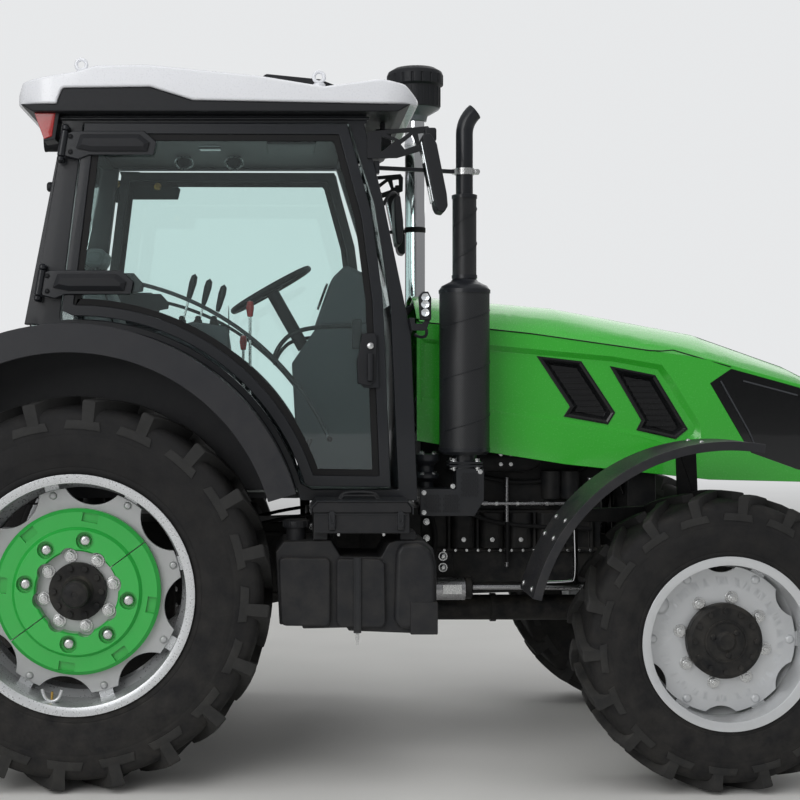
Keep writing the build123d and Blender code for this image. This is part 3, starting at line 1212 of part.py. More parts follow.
with BuildPart() as lower_links:
    with BuildSketch(Plane.XZ.offset(200)):
        with Locations(LINK_PIVOT):
            Circle(38)
        with Locations(LINK_BALL):
            Circle(32)
        Polygon((LINK_PIVOT[0], LINK_PIVOT[1] - 34), (LINK_PIVOT[0], LINK_PIVOT[1] + 34),
                (LINK_BALL[0], LINK_BALL[1] + 30), (LINK_BALL[0], LINK_BALL[1] - 30), align=None)
        with Locations(LINK_PIVOT):
            Circle(16 + FIT, mode=Mode.SUBTRACT)
        with Locations(LINK_BALL):
            Circle(14.35, mode=Mode.SUBTRACT)
    extrude(amount=300)
    # the bar splays outwards from its pivot to its ball end
    with BuildSketch(Plane.XY.offset(LINK_BALL[1] - 60)):
        Polygon((0, -LINK_IN_Y + 14), (LINK_PIVOT[0] - 90, -LINK_IN_Y + 14), (LINK_BALL[0] + 90, -LINK_OUT_Y + 14),
                (REAR_END - 1, -LINK_OUT_Y + 14), (REAR_END - 1, -LINK_OUT_Y - 14),
                (LINK_BALL[0] + 86, -LINK_OUT_Y - 14), (LINK_PIVOT[0] - 94, -LINK_IN_Y - 14), (0, -LINK_IN_Y - 14),
                align=None)
    extrude(amount=600, mode=Mode.INTERSECT)
    mirror(about=Plane.XZ)
keep(lower_links, "lower_links")

with BuildPart() as top_link:
    with BuildSketch(Plane.XZ.offset(-20)):
        with Locations(TOP_LINK_PIVOT):
            Circle(30)
        with Locations((TOP_LINK_PIVOT[0] - 600, TOP_LINK_PIVOT[1])):
            Circle(30)
        with Locations((TOP_LINK_PIVOT[0] - 300, TOP_LINK_PIVOT[1])):
            Rectangle(600, 34)
        with Locations(TOP_LINK_PIVOT):
            Circle(12.5 + FIT, mode=Mode.SUBTRACT)
        with Locations((TOP_LINK_PIVOT[0] - 600, TOP_LINK_PIVOT[1])):
            Circle(12.9, mode=Mode.SUBTRACT)
    extrude(amount=40)
keep(top_link, "top_link")

with BuildPart() as pto_shaft:
    with Locations((PTO[0] - 20, 0, PTO[1])):
        Cylinder(24, 100, rotation=(0, 90, 0))
    with Locations((PTO[0] - 110, 0, PTO[1])):
        Cylinder(17.4, 90, rotation=(0, 90, 0))
keep(pto_shaft, "pto_shaft")

with BuildPart() as drawbar:
    with BuildSketch(Plane.XY.offset(DRAWBAR_Z)):
        with Locations(((DRAWBAR_END + 200) / 2, 0)):
            Rectangle(200 - DRAWBAR_END, 80)
        with Locations((DRAWBAR_END + 45, 0)):
            Circle(16, mode=Mode.SUBTRACT)
    extrude(amount=36)
    with Locations((150, 0, 463)):
        Box(90, 120, 14)
    with Locations((-100, 0, 463)):
        Box(60, 120, 14)
keep(drawbar, "drawbar")
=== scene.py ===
import json
import math

import bmesh
import bpy
from bpy.props import FloatProperty, FloatVectorProperty, PointerProperty
from bpy.types import Operator, Panel, PropertyGroup
from mathutils import Matrix, Vector

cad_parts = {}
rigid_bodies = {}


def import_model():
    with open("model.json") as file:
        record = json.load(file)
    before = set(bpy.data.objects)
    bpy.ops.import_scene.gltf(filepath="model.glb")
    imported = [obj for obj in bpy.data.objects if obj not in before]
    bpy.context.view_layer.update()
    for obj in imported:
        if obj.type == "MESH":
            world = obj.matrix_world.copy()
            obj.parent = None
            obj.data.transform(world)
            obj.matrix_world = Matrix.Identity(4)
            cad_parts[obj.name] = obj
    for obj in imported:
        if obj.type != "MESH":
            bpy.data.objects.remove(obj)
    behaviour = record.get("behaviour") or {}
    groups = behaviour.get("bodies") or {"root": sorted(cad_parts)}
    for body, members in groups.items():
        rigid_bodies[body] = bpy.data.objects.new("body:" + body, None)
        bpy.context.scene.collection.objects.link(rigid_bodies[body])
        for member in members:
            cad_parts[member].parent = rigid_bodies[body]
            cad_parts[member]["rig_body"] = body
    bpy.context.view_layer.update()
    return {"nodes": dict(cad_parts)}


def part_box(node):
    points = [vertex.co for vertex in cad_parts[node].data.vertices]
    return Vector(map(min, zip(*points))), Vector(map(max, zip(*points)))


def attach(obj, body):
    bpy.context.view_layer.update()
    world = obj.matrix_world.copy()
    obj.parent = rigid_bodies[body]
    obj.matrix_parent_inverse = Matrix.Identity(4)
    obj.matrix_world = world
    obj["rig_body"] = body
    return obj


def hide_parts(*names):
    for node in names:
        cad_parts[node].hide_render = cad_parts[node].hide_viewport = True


bl_info = {
    "name": "Farm Tractor",
    "version": (1, 0, 0),
    "blender": (4, 5, 0),
    "location": "View3D > Sidebar > Tractor",
    "description": "Dresses the frame of a farm tractor with its finished pieces and materials",
    "category": "Object",
}

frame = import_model()
MM = 0.001
AXES = {"X": Vector((1, 0, 0)), "Y": Vector((0, 1, 0)), "Z": Vector((0, 0, 1))}
SIDES = (("right", -1), ("left", 1))


def middle(node):
    """The middle of a frame node's box."""
    low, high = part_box(node)
    return (low + high) / 2


REAR = middle("rear_rim_right")
FRONT = middle("front_rim_right")


def at(x, y, z):
    """A place given in millimetres from the rear axle, the middle and the ground."""
    return Vector((REAR.x + x * MM, y * MM, z * MM))


# ---- modelling helpers
def leave():
    """Close the piece that is open in edit mode."""
    bpy.ops.object.mode_set(mode="OBJECT")


def only(*pieces):
    """Leave just these pieces selected, the first one active."""
    if bpy.context.object and bpy.context.object.mode == "EDIT":
        leave()
    bpy.ops.object.select_all(action="DESELECT")
    for piece in pieces:
        piece.select_set(True)
    if pieces:
        bpy.context.view_layer.objects.active = pieces[0]


def whole():
    """Select the whole of the open piece."""
    bpy.ops.mesh.select_all(action="SELECT")


def edit(piece, mode="VERT"):
    """Open a piece in edit mode with everything selected."""
    only(piece)
    bpy.ops.object.mode_set(mode="EDIT")
    bpy.ops.mesh.select_mode(type=mode)
    whole()


def outward():
    """Turn every face of the open piece outwards."""
    whole()
    bpy.ops.mesh.normals_make_consistent(inside=False)


def ease(width, segments=2, clamp=False):
    """Round what is selected of the open piece by a width in millimetres."""
    bpy.ops.mesh.bevel(offset=width * MM, segments=segments, affect="EDGES", clamp_overlap=clamp)


def pull(way):
    """Extrude what is selected of the open piece."""
    bpy.ops.mesh.extrude_region_move(TRANSFORM_OT_translate={"value": way})


def pick(piece, test, mode="FACE"):
    """Select the faces, edges or vertices whose place and direction pass a test, and count them."""
    bpy.ops.mesh.select_all(action="DESELECT")
    bpy.ops.mesh.select_mode(type=mode)
    mesh = bmesh.from_edit_mesh(piece.data)
    parts, place = {"FACE": (mesh.faces, lambda face: (face.calc_center_median(), face.normal)), "EDGE": (mesh.edges,
        lambda edge: ((edge.verts[0].co + edge.verts[1].co) / 2, None)),
        "VERT": (mesh.verts, lambda vert: (vert.co, vert.normal))}[mode]
    chosen = [part for part in parts if test(*place(part))]
    for part in chosen:
        part.select_set(True)
    mesh.select_flush_mode()
    bmesh.update_edit_mesh(piece.data)
    return len(chosen)


def touching(*places):
    """A test for vertices that lie on one of some places."""
    return lambda co, n: any((co - place).length < 1e-6 for place in places)


def added(kind, **where):
    """Add a primitive and put its place into its mesh."""
    only()
    getattr(bpy.ops.mesh, "primitive_" + kind + "_add")(**where)
    bpy.ops.object.transform_apply(location=True, rotation=True, scale=True)
    return bpy.context.object


def chain(points, closed=False):
    """A line of edges through points, extruded from one point, open in edit mode."""
    piece = added("plane", size=0.01, location=points[0])
    edit(piece)
    bpy.ops.mesh.merge(type="CENTER")
    for a, b in zip(points, points[1:]):
        bpy.ops.mesh.extrude_vertices_move(TRANSFORM_OT_translate={"value": b - a})
    if closed:
        pick(piece, touching(points[0], points[-1]), "VERT")
        bpy.ops.mesh.edge_face_add()
    whole()
    return piece


def plate(outline, start, end, bevel=2.0, segments=2, axis="Y"):
    """A flat outline in millimetres raised between two distances along an axis."""
    place = {"X": lambda a, b: at(start, a, b), "Y": lambda a, b: at(a, start, b), "Z": lambda a, b: at(a, b, start)}
    piece = chain([place[axis](a, b) for a, b in outline], closed=True)
    bpy.ops.mesh.edge_face_add()
    pull(AXES[axis] * (end - start) * MM)
    outward()
    if bevel:
        ease(bevel, segments, True)
    leave()
    return piece


def block(low, high, bevel=3.0, segments=2):
    """A box between two corners in millimetres with its edges rounded."""
    a, b = at(*low), at(*high)
    piece = added("cube", size=1, location=(a + b) / 2, scale=[abs(v) for v in b - a])
    edit(piece, "EDGE")
    ease(bevel, segments, True)
    leave()
    return piece


def spun(profile, centre, axis="Y", steps=64, closed=False):
    """A profile of (distance along the axis, radius) in millimetres, spun round an axis."""
    along, out = AXES[axis], AXES["X" if axis == "Z" else "Z"]
    piece = chain([centre + along * d * MM + out * r * MM for d, r in profile], closed)
    bpy.ops.mesh.spin(steps=steps, angle=2 * math.pi, center=centre, axis=along)
    whole()
    bpy.ops.mesh.remove_doubles(threshold=1e-5)
    outward()
    leave()
    return piece


def rod(a, b, radius, sides=16, bevel=1.5):
    """A round bar between two places in millimetres, with eased ends."""
    a, b = at(*a), at(*b)
    way = b - a
    piece = added("cylinder", vertices=sides, radius=radius * MM, depth=way.length, location=(a + b) / 2,
        rotation=way.to_track_quat("Z", "Y").to_euler())
    unit = way.normalized()
    edit(piece)
    pick(piece, lambda co, n: abs(n.dot(unit)) > 0.99)
    ease(min(bevel, 0.4 * radius))
    leave()
    return piece


def pipe(points, radius, sides=6, smooth=True):
    """A bent pipe or hose along points in millimetres."""
    only()
    bpy.ops.curve.primitive_nurbs_path_add()
    line = bpy.context.object
    line.data.splines.clear()
    spline = line.data.splines.new("NURBS" if smooth else "POLY")
    spline.points.add(len(points) - 1)
    for point, place in zip(spline.points, points):
        point.co = (*at(*place), 1)
    if smooth:
        spline.order_u = 3
        spline.use_endpoint_u = True
        spline.resolution_u = 6
    line.location = (0, 0, 0)
    line.data.dimensions = "3D"
    line.data.bevel_depth = radius * MM
    line.data.bevel_resolution = sides // 2
    line.data.use_fill_caps = True
    only(line)
    bpy.ops.object.convert(target="MESH")
    piece = bpy.context.object
    edit(piece)
    bpy.ops.mesh.remove_doubles(threshold=1e-6)
    outward()
    leave()
    return piece


def joined(*pieces):
    """Several pieces joined into one."""
    only(*pieces)
    if len(pieces) > 1:
        bpy.ops.object.join()
    return pieces[0]


def copied(piece):
    """A copy of a piece with its own mesh."""
    only(piece)
    bpy.ops.object.duplicate()
    return bpy.context.object


def turned(piece, degrees, axis, centre):
    """Turn a piece's mesh about an axis through a centre."""
    piece.data.transform(Matrix.Translation(centre) @ Matrix.Rotation(math.radians(degrees), 4, axis)
        @ Matrix.Translation(-centre))
    piece.data.update()
    return piece


def mirrored(piece, centre=(0, 0, 0)):
    """A copy of a piece for the other side."""
    other = copied(piece)
    edit(other)
    bpy.ops.transform.resize(value=(1, -1, 1), center_override=centre)
    bpy.ops.mesh.flip_normals()
    leave()
    return other


def ringed(piece, count, centre, axis=(0, 1, 0)):
    """Repeat a piece round an axis, all in one mesh."""
    edit(piece)
    bpy.ops.mesh.spin(steps=count - 1, dupli=True, angle=2 * math.pi * (count - 1) / count, center=centre, axis=axis)
    leave()
    return piece


def strewn(piece, places):
    """A piece made at the first place, copied to the other places in the same mesh."""
    edit(piece)
    for a, b in zip(places, places[1:]):
        bpy.ops.mesh.duplicate_move(TRANSFORM_OT_translate={"value": at(*b) - at(*a)})
    leave()
    return piece


def applied(piece, kind, **settings):
    """Put a modifier on a piece, set it and apply it."""
    only(piece)
    change = piece.modifiers.new(kind.lower(), kind)
    for key, value in settings.items():
        setattr(change, key, value)
    bpy.ops.object.modifier_apply(modifier=change.name)
    return piece


def cut(piece, *tools):
    """Cut tools out of a piece and delete them."""
    for tool in tools:
        applied(piece, "BOOLEAN", object=tool, operation="DIFFERENCE", solver="EXACT")
        only(tool)
        bpy.ops.object.delete()
    return piece


def rounded(piece, width, segments=2, angle=30, clamp=False):
    """Round a piece's hard edges by a width in millimetres."""
    return applied(piece, "BEVEL", width=width * MM, segments=segments, limit_method="ANGLE",
        angle_limit=math.radians(angle), use_clamp_overlap=clamp, miter_outer="MITER_ARC")


def fit(name, finish, *pieces, body="root", stands_for=(), angle=50):
    """Join pieces under one name, shade and finish them, say what they ride on and hide the frame nodes that they stand
    for.
    """
    piece = joined(*pieces)
    piece.name = name
    bpy.ops.object.shade_smooth_by_angle(angle=math.radians(angle))
    applied(piece, "WEIGHTED_NORMAL", keep_sharp=True)
    if not piece.data.materials:
        piece.data.materials.append(FINISHES[finish])
    if stands_for:
        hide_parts(*stands_for)
    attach(piece, body)
    return piece


def both_sides(name, finish, body, *pieces, **settings):
    """Fit joined right-hand pieces and their mirror image, each on its own body."""
    right = joined(*pieces)
    left = mirrored(right)
    for piece, (side, _) in zip((right, left), SIDES):
        fit(f"{name}_{side}", finish, piece, body=body.format(side), **settings)


def finish_faces(name, finish, test):
    """Give the faces of a named piece whose middle and normal pass a test a finish of their own."""
    piece = bpy.data.objects[name]
    materials = piece.data.materials
    if FINISHES[finish].name not in materials:
        materials.append(FINISHES[finish])
    index = materials.find(FINISHES[finish].name)
    for face in piece.data.polygons:
        if test(face.center, face.normal):
            face.material_index = index


def opened(node):
    """A bare copy of a frame node with its triangles merged into whole faces, open in edit mode."""
    only(frame["nodes"][node])
    bpy.ops.object.duplicate()
    piece = bpy.context.object
    for key in list(piece.keys()):
        del piece[key]
    piece.parent = None
    piece.data.materials.clear()
    edit(piece)
    bpy.ops.mesh.remove_doubles(threshold=2e-5)
    bpy.ops.mesh.customdata_custom_splitnormals_clear()
    bpy.ops.mesh.dissolve_limited(angle_limit=math.radians(0.6))
    return piece


def eased(node, width, finish, clamp=False):
    """A copy of a frame node with its hard edges rounded, standing for it."""
    return fit(node + "_eased", finish, rounded(opened(node), width, clamp=clamp), body=frame["nodes"][node]["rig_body"],
        stands_for=(node,))


# ---- node groups
def put(tree, kind, inputs=None, **settings):
    """Add a shader node, set it up and wire or fill its inputs."""
    node = tree.nodes.new("ShaderNode" + kind)
    for key, value in settings.items():
        setattr(node, key, value)
    for key, value in (inputs or {}).items():
        feed(tree, node, key, value)
    return node


def feed(tree, node, key, value):
    """Wire a socket to a node's input, or fill the input with a plain value."""
    if isinstance(value, bpy.types.NodeSocket):
        tree.links.new(value, node.inputs[key])
    else:
        node.inputs[key].default_value = value


def wire(tree, node, **inputs):
    """Wire or fill a node's inputs by their labels."""
    for key, value in inputs.items():
        feed(tree, node, key.replace("_", " "), value)


def calc(tree, operation, *values, kind="Math", **settings):
    """The result of a sum on plain values or on vectors."""
    return put(tree, kind, dict(enumerate(values)), operation=operation, **settings).outputs[0]


def spot(tree):
    """The place of a shaded point on its piece."""
    return put(tree, "TexCoord").outputs["Object"]


def split(tree, value, *axes):
    """The X, Y or Z parts of a vector."""
    parts = put(tree, "SeparateXYZ", {0: value})
    return [parts.outputs[axis] for axis in axes]


def blend(tree, share, one, other):
    """A mix of two colours by a share."""
    return put(tree, "Mix", {0: share, 6: one, 7: other}, data_type="RGBA").outputs[2]


def ramp(tree, value, low, high, to_low=0.0, to_high=1.0):
    """A value mapped from one range to another and held inside it."""
    return put(tree, "MapRange", {"Value": value, "From Min": low, "From Max": high, "To Min": to_low,
        "To Max": to_high}).outputs["Result"]


EFFECTS = {}
FINISHES = {}


def effect(name, first, **inputs):
    """A new node group with labelled inputs and two outputs: a colour or a height, then a mask."""
    tree = EFFECTS[name] = bpy.data.node_groups.new(name, "ShaderNodeTree")
    for label, default in inputs.items():
        kind = "Float" if isinstance(default, float) else "Color" if len(default) == 4 else "Vector"
        socket = tree.interface.new_socket(label.replace("_", " "), in_out="INPUT", socket_type="NodeSocket" + kind)
        socket.default_value = default
    for label in (first, "Mask"):
        kind = "Color" if label == "Color" else "Float"
        tree.interface.new_socket(label, in_out="OUTPUT", socket_type="NodeSocket" + kind)
    return tree, tree.nodes.new("NodeGroupInput").outputs, tree.nodes.new("NodeGroupOutput")


def make_drift():
    """Slow changes of tone over a painted or moulded surface."""
    tree, given, result = effect("Tone Drift", "Color", Color=(1, 1, 1, 1), Scale=3.0, Amount=0.08)
    slow = put(tree, "TexNoise", {"Vector": spot(tree), "Scale": given["Scale"], "Detail": 4.0}).outputs["Fac"]
    lift = calc(tree, "MULTIPLY", ramp(tree, slow, 0.3, 0.7, -0.5, 0.5), given["Amount"])
    shade = put(tree, "HueSaturation", {"Color": given["Color"], "Value": calc(tree, "ADD", lift, 1.0)})
    wire(tree, result, Color=shade.outputs["Color"], Mask=slow)


def make_dust():
    """Pale road dust that thickens towards the ground and settles on faces that look up."""
    tree, given, result = effect("Road Dust", "Color", Color=(1, 1, 1, 1), Dust_Color=(0.3, 0.27, 0.22, 1), Height=0.9,
        Amount=0.4, Grain=14.0)
    place = spot(tree)
    low = ramp(tree, split(tree, place, "Z")[0], 0.0, given["Height"], 1.0, 0.0)
    patch = put(tree, "TexNoise", {"Vector": place, "Scale": given["Grain"], "Detail": 8.0, "Roughness": 0.65})
    patchy = ramp(tree, patch.outputs["Fac"], 0.35, 0.75)
    top = ramp(tree, split(tree, put(tree, "NewGeometry").outputs["Normal"], "Z")[0], 0.2, 1.0, 0.35, 1.0)
    mask = calc(tree, "MULTIPLY", calc(tree, "MULTIPLY", calc(tree, "MULTIPLY", low, patchy), top), given["Amount"],
        use_clamp=True)
    wire(tree, result, Color=blend(tree, mask, given["Color"], given["Dust Color"]), Mask=mask)


def make_grain():
    """Height of a fine pebbled skin, such as moulded plastic, cast iron or sprayed paint."""
    tree, given, result = effect("Fine Grain", "Height", Scale=900.0, Coarse=0.3)
    place = spot(tree)
    pebble = put(tree, "TexVoronoi", {"Vector": place, "Scale": given["Scale"]}, feature="SMOOTH_F1")
    slow = calc(tree, "MULTIPLY", given["Scale"], 0.12)
    swell = put(tree, "TexNoise", {"Vector": place, "Scale": slow, "Detail": 3.0}).outputs["Fac"]
    mix = put(tree, "Mix", {0: given["Coarse"], 2: pebble.outputs["Distance"], 3: swell})
    wire(tree, result, Height=mix.outputs[0], Mask=swell)


def make_turning():
    """Fine rings left by turning, about an axle that runs across the tractor."""
    tree, given, result = effect("Turned Rings", "Height", Centre=(0, 0, 0), Pitch=700.0)
    place = calc(tree, "SUBTRACT", spot(tree), given["Centre"], kind="VectorMath")
    flat = calc(tree, "MULTIPLY", place, (1, 0, 1), kind="VectorMath")
    radius = put(tree, "VectorMath", {0: flat}, operation="LENGTH").outputs["Value"]
    lines = put(tree, "TexNoise", {"W": radius, "Scale": given["Pitch"], "Detail": 2.0},
        noise_dimensions="1D").outputs["Fac"]
    wire(tree, result, Height=lines, Mask=ramp(tree, lines, 0.35, 0.65))


def make_lattice():
    """Height and holes of expanded metal wrapped round an upright pipe."""
    tree, given, result = effect("Expanded Metal", "Height", Centre=(0, 0, 0), Across=30.0, Up=60.0, Bar=0.32)
    x, y, z = split(tree, calc(tree, "SUBTRACT", spot(tree), given["Centre"], kind="VectorMath"), "X", "Y", "Z")
    across = calc(tree, "MULTIPLY", calc(tree, "ARCTAN2", y, x), given["Across"])
    up = calc(tree, "MULTIPLY", z, given["Up"])
    bars = [calc(tree, "LESS_THAN", calc(tree, "PINGPONG", calc(tree, "MULTIPLY_ADD", up, sign, across), 1.0),
        given["Bar"]) for sign in (1.0, -1.0)]
    mesh = calc(tree, "MAXIMUM", *bars)
    wire(tree, result, Height=mesh, Mask=mesh)


def make_weave():
    """Crossed threads of a seat cloth."""
    tree, given, result = effect("Cloth Weave", "Height", Scale=420.0)
    place = put(tree, "VectorMath", {0: spot(tree), "Scale": given["Scale"]}, operation="SCALE").outputs[0]
    waves = [calc(tree, "ABSOLUTE", calc(tree, "SINE", part)) for part in split(tree, place, "X", "Y", "Z")]
    threads = calc(tree, "ADD", calc(tree, "MULTIPLY", waves[0], waves[1]), waves[2])
    wire(tree, result, Height=threads, Mask=ramp(tree, threads, 0.2, 1.4))


# ---- finishes
# finish, slot, tone (0 to 255, or the name of a setting), roughness, metal, drift and its scale, dust and the height
# it reaches in metres, grain and its coarse share, depth in millimetres and strength, coat, specular
SURFACES = (
    ("hood_green", "green_paint", "body", 0.24, 0, 0.05, 2.5, 0.12, 1.6, 1400, 0.3, 0.02, 0.35, 0.3, 0.5),
    ("weight_green", "green_paint", "weights", 0.34, 0, 0.06, 2.5, 0.25, 0.9, 700, 0.7, 0.12, 0.35, 0.35, 0.5),
    ("roof_paint", "pale_roof", "roof", 0.3, 0, 0.03, 2.5, 0.05, 3.2, 1200, 0.3, 0.02, 0.35, 0.4, 0.5),
    ("satin_black", "black_paint", (28, 30, 34), 0.36, 0, 0.1, 2.5, 0.22, 1.4, 900, 0.3, 0.04, 0.35, 0.15, 0.3),
    ("chassis_black", "cast_iron", (27, 28, 30), 0.46, 0, 0.22, 7, 0.55, 1.5, 420, 0.75, 0.3, 0.5, 0, 0.15),
    ("moulded_black", "black_plastic", (31, 32, 35), 0.5, 0, 0.12, 2.5, 0.3, 1.6, 1000, 0.3, 0.1, 0.5, 0, 0.25),
    ("fender_black", "black_plastic", (35, 36, 40), 0.42, 0, 0.1, 2.5, 0.3, 2, 1100, 0.3, 0.07, 0.45, 0, 0.3),
    ("rear_rubber", "tyre_rubber", (32, 32, 33), 0.72, 0, 0.2, 9, 0.42, 1.7, 800, 0.55, 0.2, 0.55, 0, 0.15),
    ("front_rubber", "tyre_rubber", (32, 32, 33), 0.72, 0, 0.2, 9, 0.42, 1.7, 800, 0.55, 0.2, 0.55, 0, 0.15),
    ("lug_rubber", "", (42, 42, 42), 0.7, 0, 0.24, 11, 0.4, 1.8, 700, 0.6, 0.3, 0.6, 0, 0.2),
    ("seal_black", "tyre_rubber", (24, 24, 25), 0.62, 0, 0.15, 2.5, 0.25, 0.9, 1500, 0.3, 0.1, 0.35, 0, 0.2),
    ("rim_silver", "silver_paint", (200, 202, 204), 0.3, 0.55, 0.05, 2.5, 0.12, 1.2, 900, 0.3, 0.04, 0.35, 0.3, 0.5),
    ("disc_silver", "silver_paint", (180, 181, 182), 0.42, 0.55, 0.08, 2.5, 0.34, 1.3, 700, 0.6, 0.08, 0.35, 0.15, 0.5),
    ("front_silver", "silver_paint", (204, 206, 208), 0.34, 0.35, 0.06, 2.5, 0.3, 1.1, 900, 0.3, 0.05, 0.35, 0.3, 0.5),
    ("bright_chrome", "chrome", (235, 236, 238), 0.06, 1, 0.03, 2.5, 0.04, 3, 1500, 0.3, 0.01, 0.35, 0, 0.5),
    ("zinc", "steel", (205, 206, 206), 0.28, 0.95, 0.12, 30, 0.15, 0.9, 1200, 0.3, 0.03, 0.35, 0, 0.5),
    ("steel_bar", "steel", (168, 168, 170), 0.3, 0.95, 0.12, 18, 0.2, 0.9, 900, 0.3, 0.05, 0.35, 0, 0.5),
    ("liner_grey", "black_plastic", (74, 78, 82), 0.78, 0, 0.1, 2.5, 0, 0.9, 700, 0.5, 0.3, 0.6, 0, 0.5),
    ("mat_grey", "black_plastic", (120, 124, 122), 0.8, 0, 0.14, 2.5, 0.1, 0.9, 350, 0.3, 0.6, 0.7, 0, 0.5),
    ("mirror_glass", "chrome", (226, 230, 232), 0.03, 1, 0.01, 2.5, 0, 0.9, 1500, 0.3, 0.002, 0.35, 0, 0.5),
    ("lamp_reflector", "chrome", (232, 234, 236), 0.1, 1, 0.04, 2.5, 0, 0.9, 220, 0.2, 0.4, 0.5, 0, 0.5),
    ("brass", "steel", (196, 160, 88), 0.3, 0.95, 0.1, 2.5, 0.1, 0.9, 900, 0.3, 0.04, 0.35, 0, 0.5),
    ("vent_gloss", "black_plastic", (20, 21, 23), 0.22, 0, 0.08, 2.5, 0.1, 2.2, 900, 0.3, 0.05, 0.35, 0, 0.35),
    ("smoked_ring", "dark_lens", (58, 60, 64), 0.16, 0, 0.05, 2.5, 0, 0.9, 900, 0.3, 0.02, 0.35, 0, 0.5),
    ("smoky_plastic", "dark_lens", (84, 90, 94), 0.18, 0, 0.1, 2.5, 0.1, 3.2, 500, 0.3, 0.05, 0.35, 0, 0.5),
    ("grip_red", "black_plastic", (176, 28, 24), 0.4, 0, 0.08, 2.5, 0, 0.9, 900, 0.3, 0.06, 0.35, 0.2, 0.5),
    ("road_floor", "", (214, 213, 210), 0.75, 0, 0.1, 0.9, 0, 0.9, 60, 0.6, 0.8, 0.4, 0, 0.5),
    ("red_lens", "red_lens", (150, 10, 8), 0.08, 0, 0.06, 2.5, 0.06, 0.9, 500, 0.1, 0.2, 0.35, 0.6, 0.3),
    ("amber_lens", "red_lens", (226, 110, 12), 0.1, 0, 0.06, 2.5, 0.06, 0.9, 500, 0.1, 0.2, 0.35, 0.6, 0.3),
    ("smoked_lens", "dark_lens", (10, 11, 12), 0.05, 0, 0.06, 2.5, 0.06, 0.9, 500, 0.1, 0.2, 0.35, 0.25, 0.3),
    ("seat_cloth", "seat_fabric", (112, 118, 120), 0.85, 0, 0.12, 6, 0, 0.9, 900, 0.3, 0.06, 0.35, 0, 0.5),
    ("muffler_black", "black_paint", (30, 31, 33), 0.42, 0, 0.1, 2.5, 0.12, 2, 900, 0.3, 0.06, 0.35, 0, 0.5),
)
# finishes with turned rings about an axle, with a dust of their own tone, and with a smoother coat
TURNED_ABOUT = {"rear_rubber": REAR, "front_rubber": FRONT, "rim_silver": REAR, "front_silver": FRONT}
DUST_TONE = {"rear_rubber": (0.17, 0.155, 0.13, 1), "front_rubber": (0.17, 0.155, 0.13, 1),
    "lug_rubber": (0.15, 0.14, 0.12, 1)}
COAT_ROUGH = {"hood_green": 0.05, "red_lens": 0.02, "amber_lens": 0.02, "smoked_lens": 0.02}


def begin_finish(name):
    """A new node material, its tree and its Principled shader."""
    material = bpy.data.materials.new(name)
    material.use_nodes = True
    FINISHES[name] = material
    return material.node_tree, material.node_tree.nodes["Principled BSDF"]


def use(tree, name, **values):
    """Place a shared effect in a material with its own values."""
    node = tree.nodes.new("ShaderNodeGroup")
    node.node_tree = EFFECTS[name]
    wire(tree, node, **values)
    return node.outputs


def colour(red, green, blue):
    """A screen colour (0 to 255) as a shader colour."""
    return tuple(((c / 255 + 0.055) / 1.055) ** 2.4 if c > 10 else c / 3294.6 for c in (red, green, blue)) + (1.0,)


def surface(name, tone, rough, metal, drift, drift_scale, dust, dust_height, grain, coarse, depth, strength, coat,
        specular):
    """A painted, moulded or cast surface with drifting tone, road dust and a fine skin."""
    tree, shader = begin_finish(name)
    toned = use(tree, "Tone Drift", Color=tone, Scale=drift_scale, Amount=drift)
    dusty = use(tree, "Road Dust", Color=toned["Color"], Dust_Color=DUST_TONE.get(name, (0.30, 0.27, 0.22, 1)),
        Height=dust_height, Amount=dust)
    skin = use(tree, "Fine Grain", Scale=grain, Coarse=coarse)
    spread = ramp(tree, skin["Mask"], 0.3, 0.7, max(rough - 0.06, 0.02), rough + 0.06)
    worn = put(tree, "Mix", {0: dusty["Mask"], 2: spread, 3: 0.85}).outputs[0]
    height = skin["Height"]
    if name in TURNED_ABOUT:
        centre = TURNED_ABOUT[name]
        rings = use(tree, "Turned Rings", Centre=(centre.x, 0, centre.z), Pitch=500.0)
        height = put(tree, "Mix", {0: 0.6, 2: height, 3: rings["Height"]}).outputs[0]
    wire(tree, shader, Base_Color=dusty["Color"], Roughness=worn, Metallic=metal, Specular_IOR_Level=specular,
        Coat_Weight=coat, Coat_Roughness=COAT_ROUGH.get(name, 0.06))
    emboss(tree, shader, height, strength, depth)


def emboss(tree, shader, height, strength, depth):
    """Bump a shader by a height, its depth in millimetres."""
    bump = put(tree, "Bump", {"Height": height, "Strength": strength, "Distance": depth * MM})
    wire(tree, shader, Normal=bump.outputs["Normal"])


def pane(name, tone, drift=0.03, ior=1.45):
    """Tinted glass or a clear lens, with a faint drift in its tint."""
    tree, shader = begin_finish(name)
    toned = use(tree, "Tone Drift", Color=tone, Scale=1.2, Amount=drift)
    wire(tree, shader, Base_Color=toned["Color"], Roughness=0.0, Transmission_Weight=1.0, IOR=ior)


def opened_finish(name):
    """The tree and the Principled shader of a finish that is there already."""
    tree = FINISHES[name].node_tree
    return tree, tree.nodes["Principled BSDF"]


